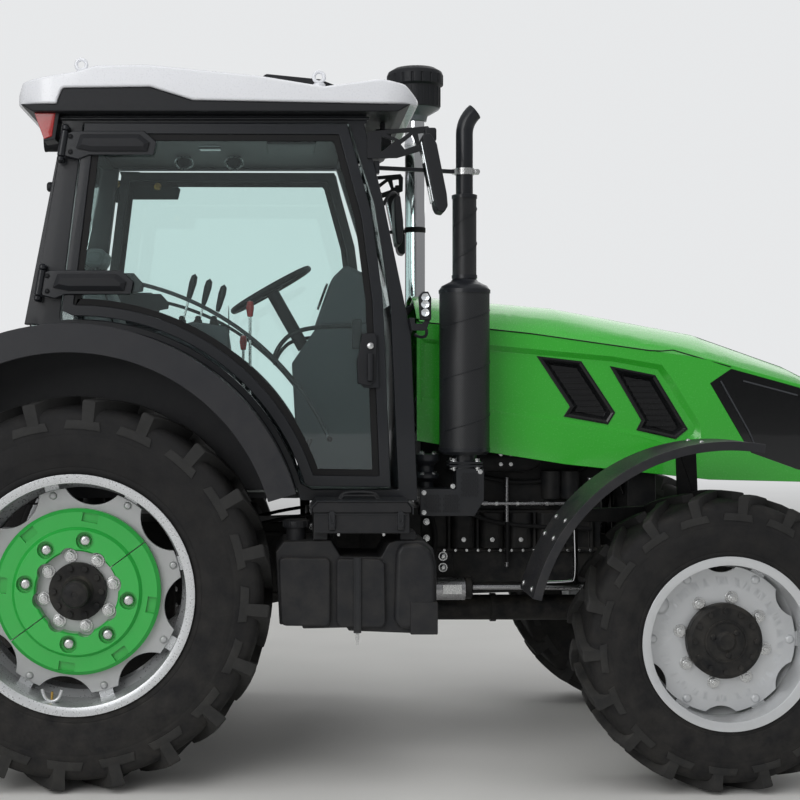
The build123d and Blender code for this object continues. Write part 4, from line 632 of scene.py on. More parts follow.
def make_finishes(colours):
    """Build every effect and finish once."""
    for make in (make_drift, make_dust, make_grain, make_turning, make_lattice, make_weave):
        make()
    for name, _, tone, *values in SURFACES:
        tone = (*getattr(colours, tone), 1) if isinstance(tone, str) else colour(*tone)
        surface(name, tone, *values)
    pane("window_glass", (0.80, 0.93, 0.91, 1), drift=0.015)
    pane("clear_lens", colour(236, 238, 240), ior=1.3)
    # seat cloth with its weave
    tree, shader = opened_finish("seat_cloth")
    weave = use(tree, "Cloth Weave", Scale=1400.0)
    wire(tree, shader, Base_Color=blend(tree, weave["Mask"], colour(84, 90, 93), colour(128, 134, 136)),
        Sheen_Weight=0.3)
    emboss(tree, shader, weave["Height"], 0.5, 0.8)
    # expanded metal round the muffler: bars in black paint, holes painted near black for the black muffler behind the
    # mesh and painted shade on it
    tree, shader = opened_finish("muffler_black")
    line = at(1525, -550, 0)
    net = use(tree, "Expanded Metal", Centre=(line.x, line.y, 0.0), Across=30.0, Up=180.0)
    # near black in the holes is painted shade behind the mesh, lighter black on the bars
    wire(tree, shader, Base_Color=blend(tree, net["Mask"], colour(12, 12, 13), colour(44, 46, 49)))
    emboss(tree, shader, net["Height"], 0.8, 2.5)


# ---- settings a user would change
class TractorColours(PropertyGroup):
    body: FloatVectorProperty(name="Body", description="Paint of the hood and its grilles' surround", subtype="COLOR",
        size=3, min=0, max=1, default=(0.036, 0.420, 0.030))
    weights: FloatVectorProperty(name="Wheel weights", description="Paint of the rear wheel weights", subtype="COLOR",
        size=3, min=0, max=1, default=(0.022, 0.400, 0.056))
    roof: FloatVectorProperty(name="Roof", description="Paint of the cab's roof", subtype="COLOR", size=3, min=0, max=1,
        default=(0.70, 0.71, 0.74))


class TractorSizes(PropertyGroup):
    lug_round: FloatProperty(name="Lug rounding", description="Radius on the tyre lugs' edges", unit="LENGTH",
        default=0.004, min=0.001, max=0.008)
    floor: FloatProperty(name="Floor", description="Radius of the floor's disc", unit="LENGTH", default=45, min=10,
        max=100)
    lens: FloatProperty(name="Lens", description="Focal length of the camera on a 36 mm sensor", default=71.73, min=20,
        max=200)


# ---- stage
BACKDROP = (0.80, 0.81, 0.82, 1)
# name, place, aim, size in metres, watts
LAMPS = (("overhead", (-1.0, -2.0, 8.0), (0, 0, 1.0), 8.0, 280),
    ("camera side", (-5.0, -9.0, 5.0), (0, 0, 1.2), 6.0, 400), ("far side", (3.0, 8.0, 6.0), (0, 0, 1.2), 6.0, 120))


class TRACTOR_OT_stage(Operator):
    """Set the pale floor, the soft lights and the camera round the tractor"""
    bl_idname = "tractor.stage"
    bl_label = "Stage"

    def execute(self, context):
        sizes = context.scene.tractor_sizes
        floor = added("circle", vertices=96, radius=sizes.floor, fill_type="NGON", location=(0, 0, 0))
        floor.name = "floor"
        floor.data.materials.append(FINISHES["road_floor"])
        # the floor fades into the pale backdrop far from the tractor
        tree, shader = opened_finish("road_floor")
        away = put(tree, "VectorMath", {0: spot(tree)}, operation="LENGTH").outputs["Value"]
        fade = ramp(tree, away, 7.0, 24.0)
        glow = put(tree, "Emission", {"Color": BACKDROP, "Strength": 1.0})
        mix = put(tree, "MixShader", {0: fade, 1: shader.outputs["BSDF"], 2: glow.outputs["Emission"]})
        wire(tree, tree.nodes["Material Output"], Surface=mix.outputs["Shader"])
        # pale backdrop for the camera, gloss and glass, and a soft sky for the light
        world = bpy.data.worlds.new("studio")
        world.use_nodes = True
        context.scene.world = world
        tree = world.node_tree
        rays = put(tree, "LightPath")
        seen = calc(tree, "MAXIMUM", rays.outputs["Is Camera Ray"], rays.outputs["Is Transmission Ray"])
        height = split(tree, put(tree, "TexCoord").outputs["Generated"], "Z")[0]
        gloss = ramp(tree, height, 0.0, 0.75, 0.25, 0.60)
        unseen = put(tree, "Mix", {0: rays.outputs["Is Glossy Ray"], 2: 0.52, 3: gloss})
        power = put(tree, "Mix", {0: seen, 2: unseen.outputs[0], 3: 1.0}).outputs[0]
        wire(tree, tree.nodes["Background"], Color=BACKDROP, Strength=power)
        for label, place, aim, size, watts in LAMPS:
            bpy.ops.object.light_add(type="AREA", location=place)
            light = context.object
            light.name = label
            light.data.shape = "SQUARE"
            light.data.size = size
            light.data.energy = watts
            light.visible_glossy = label != "overhead"
            light.rotation_euler = (Vector(aim) - Vector(place)).to_track_quat("-Z", "Y").to_euler()
        bpy.ops.object.camera_add(location=(REAR.x + 0.777, -7.015, 1.543), rotation=(math.pi / 2, 0, 0))
        camera = context.object
        camera.data.lens = sizes.lens
        camera.data.sensor_width = 36
        camera.data.shift_x = 0.15
        camera.data.shift_y = -0.01875
        context.scene.camera = camera
        context.scene.view_settings.view_transform = "Standard"
        return {"FINISHED"}


# ---- frame pieces that keep their shape
# finish: node and its rounding in millimetres, with {} where there is one on each side
EASED = {
    "rim_silver": (("rear_rim_{}", 1.6),),
    "disc_silver": (("rear_wheel_disc_{}", 2.5),),
    "chassis_black": (("rear_hub_{}", 1.5), ("front_hub_{}", 2), ("knuckle_{}", 3), ("transmission", 6),
        ("engine", 5), ("front_frame", 4), ("front_axle", 5), ("steering_cylinder", 2.5), ("drive_shaft", 2),
        ("lift_arms", 4), ("lift_rods", 3), ("lower_links", 3), ("drawbar", 3)),
    "front_silver": (("front_rim_{}", 1.6), ("front_wheel_disc_{}", 2.5)),
    "fender_black": (("front_fender_{}", 2), ("rear_fenders", 2.5)),
    "satin_black": (("door_frame_{}", 3), ("cab_steps", 3), ("cab_frame", 4)),
    "steel_bar": (("engine_pipes", 1.5), ("steering_rod", 1.5), ("top_link", 2.5), ("pto_shaft", 1.5)),
    "moulded_black": (("tool_box", 3.5), ("roof_trim", 6), ("precleaner", 2.5), ("lamps", 2.5)),
    "smoked_lens": (("headlamps", 1.5),),
    "muffler_black": (("exhaust", 2),),
    "bright_chrome": (("air_intake", 2),),
    "red_lens": (("tail_lamps", 2.5),),
}


class TRACTOR_OT_eased(Operator):
    """Round the hard edges of the frame's pieces and give each its finish"""
    bl_idname = "tractor.eased"
    bl_label = "Frame pieces"

    def execute(self, context):
        for finish, nodes in EASED.items():
            for node, width in nodes:
                for side, _ in SIDES if "{}" in node else SIDES[:1]:
                    eased(node.format(side), width, finish, node.startswith("front_wheel_disc"))
        for node in ("cab_glass", "door_glass_right", "door_glass_left"):
            frame["nodes"][node].data.materials.clear()
            frame["nodes"][node].data.materials.append(FINISHES["window_glass"])
        return {"FINISHED"}


# ---- tyres
def between(table, value):
    """A value read off a short table of (place, value) by straight lines."""
    for (x0, y0), (x1, y1) in zip(table, table[1:]):
        if value <= x1:
            return y0 + (y1 - y0) * (value - x0) / (x1 - x0)
    return table[-1][1]


def tyre(rubber, centre, radius, half, seat, lugs, height, bar, lug_round):
    """A tractor tyre about an axle, with two staggered rows of curved lugs."""
    base = radius - height
    depth = radius - seat
    # columns: share of the half width, share of the way from the bead seat to the tread's base
    wall = ((0.90, 0.10), (0.93, 0.12), (0.945, 0.17), (0.935, 0.185), (0.955, 0.21), (0.975, 0.33), (0.985, 0.345),
        (0.985, 0.365), (0.995, 0.38), (1.0, 0.50), (0.995, 0.60), (0.985, 0.615), (0.985, 0.64), (0.99, 0.66),
        (0.965, 0.80), (0.93, 0.90), (0.86, 0.965), (0.72, 1.0), (0.40, 1.02), (0.0, 1.03))
    outer = [(share * half, seat + rise * (base - seat)) for share, rise in wall]
    profile = [(-d, r) for d, r in outer] + [(d, r) for d, r in reversed(outer[:-1])]
    profile += [(0.86 * half, seat + 3), (-0.86 * half, seat + 3)]
    carcass = spun(profile, centre, steps=120, closed=True)
    carcass.data.materials.append(FINISHES[rubber])
    # one lug drawn flat: columns are lead along the tread, distance from the middle, half width
    spine = ((1.60, -0.06, 0.50), (1.12, 0.20, 0.46), (0.34, 0.46, 0.47), (-0.42, 0.72, 0.50), (-1.04, 0.99, 0.44))
    ahead = [Vector(((lead + wide) * bar, side * half, 0)) * MM for lead, side, wide in spine]
    behind = [Vector(((lead - wide) * bar, side * half, 0)) * MM for lead, side, wide in spine]
    lug = chain(ahead + behind[::-1], closed=True)
    bpy.ops.mesh.edge_face_add()
    for ends in list(zip(ahead, behind))[1:-1]:
        pick(lug, touching(*ends), "VERT")
        bpy.ops.mesh.vert_connect()
    whole()
    pull((0, 0, height * MM))
    outward()
    pick(lug, lambda co, n: co.z > 0.99 * height * MM and n.z > 0.9)
    bpy.ops.mesh.region_to_loop()
    ease(lug_round / MM, 2, True)
    leave()
    foot = ((0, base - 0.18 * height), (0.72, base - 0.22 * height), (0.88, base - 0.09 * depth),
        (1.0, base - 0.19 * depth))
    crown = ((0, radius), (0.6, radius - 3), (0.9, radius - 7), (1.0, radius - 12))
    for vert in lug.data.vertices:
        across = abs(vert.co.y) / (half * MM)
        share = vert.co.z / (height * MM)
        low = between(foot, across)
        reach = (low + share * (between(crown, across) - low)) * MM
        turn = vert.co.x / (radius * MM)
        vert.co = centre + Vector((reach * math.sin(turn), vert.co.y * (1 - 0.012 * share * across),
            reach * math.cos(turn)))
    # flared pad on the sidewall below each lug: lead along the tread, share of the way up the wall
    pad = [((lead * bar, seat + rise * (base - seat))) for lead,
        rise in ((-2.4, 0.835), (-2.6, 0.715), (0.06, 0.70), (-0.1, 0.82))]
    foot_pad = chain([Vector((u, 0, r)) * MM for u, r in pad], closed=True)
    bpy.ops.mesh.edge_face_add()
    bpy.ops.mesh.subdivide(number_cuts=3)
    pull((0, -0.001, 0))
    leave()
    for vert in foot_pad.data.vertices:
        turn, reach = vert.co.x / (0.9 * radius * MM), vert.co.z
        rise = (reach / MM - seat) / (base - seat)
        side = between(((0.66, 0.985), (0.80, 0.96), (0.90, 0.925)), rise) * half * MM
        out = side - 0.002 if vert.co.y > -0.0005 else min(side + 0.0065, half * MM)
        vert.co = centre + Vector((reach * math.sin(turn), out, reach * math.cos(turn)))
    edit(foot_pad)
    outward()
    lug = joined(lug, rounded(foot_pad, 1.5))
    lug.data.materials.append(FINISHES["lug_rubber"])
    ringed(lug, lugs, centre)
    return joined(carcass, lug, turned(mirrored(lug, centre), 180 / lugs, "Y", centre))


class TRACTOR_OT_tyres(Operator):
    """Mould the four tyres with their curved, staggered lugs"""
    bl_idname = "tractor.tyres"
    bl_label = "Tyres"

    def execute(self, context):
        sizes = context.scene.tractor_sizes
        for label, values in (("rear", (REAR, 750, 210, 431.8, 20, 42, 56)),
                ("front", (FRONT, 568, 170, 304.8, 18, 36, 46))):
            right = tyre(label + "_rubber", *values, sizes.lug_round)
            for piece, (side, _) in zip((right, mirrored(right)), SIDES):
                fit(f"{label}_tyre_tread_{side}", label + "_rubber", piece, body=f"{label}_wheel_{side}",
                    stands_for=(f"{label}_tyre_{side}",), angle=40)
        return {"FINISHED"}


# ---- fasteners
def ring_of(x, z, y, radius, angles):
    """Places on a circle in the side view, in millimetres."""
    return [(px, y, pz) for px, pz in [polar(radius, a, x, z) for a in angles]]


def bolts(places, across, height, way=(0, -1, 0), domed=False, washer=True):
    """Hexagon or domed bolt heads on their washers, facing one way."""
    way = Vector(way)
    start = at(*places[0])
    lean = way.to_track_quat("Z", "Y").to_euler()
    head = added("cylinder", vertices=20 if domed else 6, radius=across * 0.577 * MM, depth=height * MM,
        location=start + way * height * MM / 2, rotation=lean)
    edit(head)
    pick(head, lambda co, n: n.dot(way) > 0.9)
    if domed:
        ease(0.35 * across, 3, True)
    else:
        bpy.ops.mesh.inset(thickness=0.07 * across * MM)
        bpy.ops.transform.translate(value=way * 0.08 * height * MM)
    if washer:
        disc = added("cylinder", vertices=20, radius=across * 0.76 * MM, depth=0.16 * across * MM,
            location=start + way * 0.08 * across * MM, rotation=lean)
        edit(disc)
        pick(disc, lambda co, n: n.dot(way) > 0.9)
        ease(0.04 * across, 1)
        head = joined(head, disc)
    return strewn(head, places)


# ---- wheels
class TRACTOR_OT_rear_wheels(Operator):
    """Fit the rear wheels' nuts, bolts, hub bolts, valves and their guards"""
    bl_idname = "tractor.rear_wheels"
    bl_label = "Rear wheel fittings"

    def execute(self, context):
        x, z, body = 0, 750, "rear_wheel_{}"
        both_sides("rear_nuts", "zinc", body, bolts(ring_of(x, z, -864, 137.5, [12.5 + 45 * k for k in range(8)]), 35,
            24))
        seats = ring_of(x, z, -906, 200, (81, 126, 171, 261, 306, 351))
        for side, sign in SIDES:
            weight = opened("wheel_weight_" + side)
            for px, _, pz in seats:
                seat_middle = at(px, sign * 915, pz)
                pick(weight, lambda co, n: abs(co.y) > 0.9035 and 0.0115 < (co - seat_middle).xz.length < 0.0175,
                    "VERT")
                bpy.ops.transform.resize(value=(2.0, 1, 2.0), center_override=seat_middle)
            rounded(weight, 1.2, clamp=True)
            fit(f"wheel_weight_{side}_eased", "weight_green", weight, body=f"rear_wheel_{side}",
                stands_for=("wheel_weight_" + side,))
            finish_faces(f"rear_hub_{side}_eased", "zinc", lambda co, n: abs(co.y) > 0.8645
                and (co - REAR).xz.length > 0.115)
        both_sides("weight_bolts", "zinc", body, bolts(seats, 40, 17, domed=True, washer=False))
        both_sides("rim_bolts", "disc_silver", body, bolts(ring_of(x, z, -864, 378, range(15, 360, 45)), 26, 12,
            domed=True, washer=False))
        both_sides("hub_bolts", "chassis_black", body, bolts(ring_of(x, z, -896, 92, range(0, 360, 36)), 21, 12,
            washer=False))
        # shaft cap with its centre hole and ring
        both_sides("hub_cap", "chassis_black", body, spun([(-994, 0), (-994, 9), (-998, 12), (-998, 38), (-992, 46),
            (-986, 46)], at(0, 0, 750), steps=40))
        # valve in a guard with two horns, on the rim near the ground
        place = ring_of(x, z, -948, 409, (257,))[0]
        both_sides("valve_guard", "rim_silver", body, pipe([(place[0] - 36, -948, place[2] + 34),
            (place[0] - 30, -950, place[2] + 6), (place[0] - 10, -952, place[2] - 12),
            (place[0] + 12, -952, place[2] - 12), (place[0] + 32, -950, place[2] + 4),
            (place[0] + 38, -948, place[2] + 32)], 7))
        both_sides("valve_stem", "brass", body, rod((place[0], -948, place[2] - 16),
            (place[0] + 3, -954, place[2] + 26), 5))
        return {"FINISHED"}


class TRACTOR_OT_front_wheels(Operator):
    """Fit the front wheels' bolts, studs, hub covers and rim bosses"""
    bl_idname = "tractor.front_wheels"
    bl_label = "Front wheel fittings"

    def execute(self, context):
        x, z, body = 2470, 568, "front_wheel_{}"
        both_sides("front_rim_bolts", "front_silver", body, bolts(ring_of(x, z, -896, 262, range(0, 360, 60)), 30, 10,
            domed=True, washer=False))
        for side, _ in SIDES:
            finish_faces(f"front_hub_{side}_eased", "zinc", lambda co, n: (co - FRONT).xz.length > 0.150)
        both_sides("front_studs", "zinc", body, bolts(ring_of(x, z, -912, 165, range(33, 360, 45)), 33, 21))
        both_sides("cap_bolts", "chassis_black", body, bolts(ring_of(x, z, -958, 116, range(0, 360, 30)), 19, 12,
            washer=False))
        ring = spun([(-962, 72), (-969, 74), (-969, 80), (-962, 82)], at(2470, 0, 568), steps=48)
        plugs = bolts(ring_of(x, z, -966, 52, (40, 160, 280)), 20, 6, domed=True, washer=False)
        both_sides("cap_cover", "chassis_black", body, ring, plugs)
        # round boss between the disc and the rim
        place = ring_of(x, z, 0, 268, (151,))[0]
        both_sides("rim_boss", "front_silver", body, spun([(-862, 0), (-862, 36), (-896, 36), (-905, 31), (-910, 20),
            (-912, 0)], at(place[0], 0, place[2]), steps=36))
        return {"FINISHED"}


# ---- cab
def pane_ring(node, way, width, lift):
    """A raised rubber border round a door's glass, drawn from the glass itself."""
    ring = opened(node)
    pick(ring, lambda co, n: n.y * way < 0.99)
    bpy.ops.mesh.delete(type="ONLY_FACE")
    whole()
    bpy.ops.mesh.inset(thickness=width * MM)
    bpy.ops.mesh.delete(type="FACE")
    whole()
    bpy.ops.transform.translate(value=(0, -way * 0.5 * MM, 0))
    pull((0, way * lift * MM, 0))
    outward()
    return rounded(ring, 1.5)


class TRACTOR_OT_cab_fittings(Operator):
    """Fit the doors' seals, hinge covers, handles and rails, the wipers and the window knobs"""
    bl_idname = "tractor.cab_fittings"
    bl_label = "Cab fittings"

    def execute(self, context):
        for side, way in SIDES:
            fit(f"door_seal_{side}", "seal_black", pane_ring(f"door_glass_{side}", way, 26, 6), body=f"door_{side}")
        # faceted covers over the hinge plates: hinge middle x, z
        for label, hx, hz in (("low", -166, 1945), ("top", -75, 2492)):
            cover = plate([(hx + 52, hz - 20), (hx + 70, hz + 34), (hx + 300, hz + 34), (hx + 340, hz + 2),
                (hx + 330, hz - 32), (hx + 110, hz - 32)], -760, -768, 0)
            edit(cover)
            pick(cover, lambda co, n: n.y < -0.9)
            bpy.ops.mesh.inset(thickness=0.018, depth=0.010)
            both_sides("hinge_cover_" + label, "moulded_black", "door_{}", rounded(cover, 1.2, angle=15), angle=20)
            both_sides("hinge_screws_" + label, "chassis_black", "door_{}", bolts([(hx + 30, -760, hz + 26),
                (hx + 30, -760, hz - 34)], 14, 6, domed=True))
        # outside handle, its lock and the ball on the inside rail
        handle = plate([(1082, 1548), (1079, 1640), (1092, 1700), (1099, 1744), (1149, 1747), (1157, 1722),
            (1152, 1562), (1132, 1538)], -758, -772, 4, 3)
        grip = block((1118, -794, 1556), (1141, -770, 1668), 7, 3)
        lock = spun([(-768, 0), (-782, 0), (-782, 11), (-779, 14), (-768, 14)], at(1131, 0, 1696), steps=24)
        both_sides("door_handle", "moulded_black", "door_{}", handle, grip)
        both_sides("door_lock", "zinc", "door_{}", lock)
        both_sides("inner_handle", "moulded_black", "door_{}", joined(pipe([(752, -694, 1640), (762, -690, 1696),
            (862, -688, 1780), (1066, -690, 1776)], 9, sides=10), block((1062, -712, 1686), (1100, -684, 1804), 5)))
        corners = [plate(outline, -727.6, -728.6, 0) for outline in ([(924, 2566), (1049, 2560), (1090, 2384)],
            [(-2, 2580), (97, 2578), (28, 2500)])]
        both_sides("frit_corners", "seal_black", "door_{}", *corners)
        both_sides("hinge_inner_bolts", "brass", "door_{}",
            bolts([(-16, -722, 2518), (183, -722, 2506)], 24, 8, (0, 1, 0)))
        both_sides("rail_ball", "moulded_black", "door_{}", spun([(-732, 0), (-730, 8), (-724, 13), (-714, 13),
            (-708, 8), (-706, 0)], at(974, 0, 1330), steps=24))
        # windscreen wiper: arm, joint and blade in front of the glass
        motor = spun([(0, 0), (0, 26), (10, 30), (30, 30), (36, 24), (36, 0)], at(1120, -40, 2528), "X", 28)
        arm = pipe([(1152, -40, 2528), (1166, 40, 2440), (1190, 150, 2320), (1216, 230, 2210)], 5)
        blade = pipe([(1164, 120, 2400), (1216, 235, 2205), (1262, 330, 2000)], 7)
        fit("windscreen_wiper", "moulded_black", motor, arm, blade)
        knob = spun([(0, 0), (0, 16), (-10, 20), (-24, 20), (-30, 14), (-30, 0)], at(-130, -600, 2340), "X", 24)
        fit("window_knobs", "moulded_black", knob, mirrored(knob))
        # rear window's handle bar
        fit("window_bar", "moulded_black", pipe([(-306, -260, 1420), (-282, -260, 1420), (-282, 260, 1420),
            (-306, 260, 1420)], 9, smooth=False))
        # rain channel over each door
        gutter = block((-150, -722, 2590), (1130, -700, 2602), 4)
        fit("rain_channels", "satin_black", gutter, mirrored(gutter))
        # white lifting eyes on their feet, made anew above the roof
        roof = opened("roof_cap")
        rings = []
        for x, z in ((-22, 2792), (934, 2742)):
            for y in (-600, 600):
                foot = at(x, y, z)
                pick(roof, lambda co, n: (co - foot).xy.length < 0.045 and (co.z > foot.z + 0.006
                    or ((co - foot).xy.length < 0.02 and abs(n.z) < 0.9 and co.z > foot.z - 0.04)))
                bpy.ops.mesh.delete(type="FACE")
                rings += [spun([(-6, 11), (-6, 26), (10, 26), (14, 20), (14, 11)], foot, "Z", 24, closed=True),
                    added("torus", major_radius=0.021, minor_radius=0.0075, major_segments=36, minor_segments=12,
                    location=at(x, y, z + 40), rotation=(math.pi / 2, 0, 0)), rod((x, y, z), (x, y, z + 16), 11.5)]
                edit(roof)
        for repair, values in (("delete_loose", {}), ("fill_holes", {"sides": 0}),
                ("dissolve_limited", {"angle_limit": math.radians(1.0)})):
            whole()
            getattr(bpy.ops.mesh, repair)(**values)
        rounded(roof, 10.0)
        fit("roof_cap_eased", "roof_paint", roof, stands_for=("roof_cap",))
        fit("lifting_eyes", "roof_paint", *rings)
        return {"FINISHED"}


# ---- inside the cab
class TRACTOR_OT_cab_inside(Operator):
    """Make the steering wheel, levers, pedals, floor mat, dash, vents and linings"""
    bl_idname = "tractor.cab_inside"
    bl_label = "Inside the cab"

    def execute(self, context):
        centre, tilt = at(737, 0, 1961), math.radians(29.5)
        lean = Vector((-math.sin(tilt), 0, math.cos(tilt)))
        turn = lean.to_track_quat("Z", "Y").to_euler()
        # rim and three spokes
        wheel = added("torus", location=centre, rotation=turn, major_radius=0.187, minor_radius=0.014,
            major_segments=72, minor_segments=16)
        boss = added("cylinder", vertices=40, radius=0.052, depth=0.030, location=centre, rotation=turn)
        edit(boss)
        pick(boss, lambda co, n: abs(n.dot(lean)) > 0.9)
        ease(10, 3)
        leave()
        spokes = []
        for angle in (90, 210, 330):
            out, up = polar(1, angle)
            way = Vector((0, out, 0)) + Vector((math.cos(tilt), 0, math.sin(tilt))) * up
            a, b = centre + way * 0.035, centre + way * 0.185
            spoke = added("cube", size=1, location=(a + b) / 2, scale=(0.034, 0.012, 0.152),
                rotation=Matrix((lean.cross(way), lean, way)).transposed().to_euler())
            edit(spoke, "EDGE")
            ease(4)
            spokes.append(spoke)
        foot = centre - lean * 0.30
        column = added("cylinder", vertices=32, radius=0.028, depth=0.29, location=(centre + foot) / 2, rotation=turn)
        edit(column)
        pick(column, lambda co, n: abs(n.dot(lean)) > 0.9)
        bpy.ops.mesh.inset(thickness=0.006)
        fit("steering_wheel_made", "moulded_black", wheel, boss, *spokes, column, stands_for=("steering_wheel",))
        # lever grips and their rods on the right-hand console: x, top
        grips, rods = [], []
        for x, top in ((428, 2012), (495, 1991), (561, 1966)):
            base = x - 58
            grip = spun([(top - 118, 0), (top - 116, 8), (top - 96, 12), (top - 40, 16), (top - 12, 13), (top, 0)],
                at(base, -400, 0), "Z", 24)
            turned(grip, 14.5, "Y", at(base, -400, 1790))
            shaft = rod((base, -400, 1780), (base, -400, top - 110), 5)
            turned(shaft, 14.5, "Y", at(base, -400, 1790))
            grips.append(grip)
            rods.append(shaft)
        fit("lever_grips", "moulded_black", *grips)
        fit("lever_rods", "zinc", *rods)
        gaiters = [spun([(1788 + 7 * k, 22 - 2.4 * k + (3 if k % 2 else 0)) for k in range(7)], at(x - 58, -400, 0),
            "Z", 24) for x in (428, 495, 561)]
        fit("lever_gaiters", "seal_black", plate([(330, 1772), (330, 1779), (420, 1805), (574, 1784), (574, 1776),
            (420, 1797)], -450, -350, 2), *gaiters)
        red = [spun([(z, 0), (z + 4, 12), (z + 40, 17), (z + 66, 13), (z + 72, 0)], at(x, y, 0), "Z", 20) for x, y,
            z in ((650, -250, 1830), (610, 240, 1700))]
        stems = [rod((x, y, 1500), (x, y, z), 6) for x, y, z in ((650, -250, 1834), (610, 240, 1704))]
        fit("red_grips", "grip_red", *red)
        fit("red_stems", "zinc", *stems)
        # dash panel with its dials, facing the driver
        fit("dash_cowl", "liner_grey", plate([(930, 1800), (1000, 2002), (1058, 2058), (1180, 2004), (1200, 1860),
            (1150, 1800)], -186, 186, 16, 3))
        dials = []
        for y, radius in ((-95, 52), (0, 62), (95, 52)):
            dial = spun([(0, radius), (-8, radius), (-10, radius - 4), (-6, radius - 7), (-6, 0)], at(968, y, 1930),
                "X", 40)
            turned(dial, 20, "Y", at(968, y, 1930))
            dials.append(dial)
        fit("dash_dials", "smoked_lens", *dials)
        # pedals, console and mats
        pedals = []
        for y in (-150, -70, 150):
            pad = block((880, y - 32, 1240), (905, y + 32, 1320), 6)
            turned(pad, 28, "Y", at(890, y, 1280))
            pedals += [pad, rod((900, y, 1270), (985, y, 1480), 8)]
        fit("pedals", "moulded_black", *pedals)
        panel = opened("console")
        pick(panel, lambda co, n: abs(co.y + 0.4) < 0.02 and co.z > 1.801 and co.x < at(700, 0, 0).x)
        bpy.ops.mesh.delete(type="FACE")
        rounded(panel, 6.0)
        fit("console_shell", "liner_grey", panel, stands_for=("console",))
        mat = block((482, -600, 1111), (1235, 600, 1119), 3)
        back_mat = block((-150, -540, 1256), (436, 540, 1262), 2.5)
        fit("floor_mats", "mat_grey", mat, back_mat)
        # inner side panels under the windows
        shelf = plate([(-170, 1262), (-190, 1560), (-120, 1700), (60, 1700), (60, 1262)], -545, -520, 6)
        fit("side_linings", "liner_grey", shelf, mirrored(shelf))
        # ceiling: two round vents, a lamp and a radio panel
        cups, rims = [], []
        for x in (338, 567):
            cup = spun([(16, 34), (-8, 36), (-8, 30), (-3, 26), (-3, 0)], at(x, 290, 2566), "Z", 36)
            rim = spun([(-6, 34), (-6, 41), (-9, 43), (-12, 41), (-12, 35), (-9, 33)], at(x, 290, 2566), "Z", 36,
                closed=True)
            cups.append(turned(cup, -42, "X", at(x, 290, 2566)))
            rims.append(turned(rim, -42, "X", at(x, 290, 2566)))
        fit("ceiling_cups", "moulded_black", *cups)
        fit("ceiling_rims", "zinc", *rims)
        fit("radio_panel", "moulded_black", block((720, -240, 2566), (930, 60, 2590), 8, 3))
        fit("cab_lamp", "clear_lens", block((420, -60, 2574), (520, 20, 2590), 8, 3))
        return {"FINISHED"}


# ---- hood
# side outlines in millimetres: the recessed field's corners, then where its chamfer starts and ends
RECESS = ((1375, 1722), (2159, 1648), (2354, 1614), (2404, 1545), (2505, 1380), (2510, 1335), (2460, 1290),
    (2258, 1345), (1375, 1500))
RECESS_OUTER = ((1361, 1737), (2162, 1661), (2362, 1627), (2418, 1551), (2520, 1384), (2526, 1322), (2468, 1260),
    (2256, 1314), (1361, 1470))
RECESS_INNER = ((1386, 1709), (2157, 1641), (2347, 1607), (2394, 1540), (2492, 1376), (2496, 1342), (2456, 1303),
    (2260, 1352), (1386, 1506))
VENTS = (((1850, 1660), (2029, 1639), (2168, 1428), (2140, 1382), (1961, 1414), (1986, 1453)), ((2154, 1618),
    (2336, 1582), (2470, 1360), (2422, 1321), (2263, 1357), (2283, 1396)))


def shrunk(outline, amount):
    """A closed side outline drawn in by an amount, corner by corner."""
    points = [Vector(p) for p in outline]
    area = sum(a.x * b.y - b.x * a.y for a, b in zip(points, points[1:] + points[:1]))
    side = 1 if area > 0 else -1
    made = []
    for k, point in enumerate(points):
        before = (point - points[k - 1]).normalized()
        after = (points[(k + 1) % len(points)] - point).normalized()
        a, b = Vector((-before.y, before.x)) * side, Vector((-after.y, after.x)) * side
        lean = (a + b).normalized()
        made.append(tuple(point + lean * amount / max(lean.dot(a), 0.35)))
    return made


def tray(rings, bevel=1.5):
    """A sunk tray: outlines at growing depths, each (outline, y), bridged and closed at the last."""
    piece = joined(*[chain([at(x, y, z) for x, z in outline], closed=True) for outline, y in rings])
    edit(piece, "EDGE")
    for (_, near), (_, far) in zip(rings, rings[1:]):
        ends = (near * MM, far * MM)
        pick(piece, lambda co, n: min(abs(co.y - e) for e in ends) < 1e-5, "EDGE")
        bpy.ops.mesh.bridge_edge_loops()
    last = rings[-1][1] * MM
    pick(piece, lambda co, n: abs(co.y - last) < 1e-5, "EDGE")
    bpy.ops.mesh.edge_face_add()
    outward()
    leave()
    low = min(piece.data.polygons, key=lambda f: abs(f.center.y - last))
    if low.normal.y * (-1 if last < 0 else 1) < 0:
        edit(piece)
        bpy.ops.mesh.flip_normals()
    return rounded(piece, bevel, angle=20) if bevel else piece


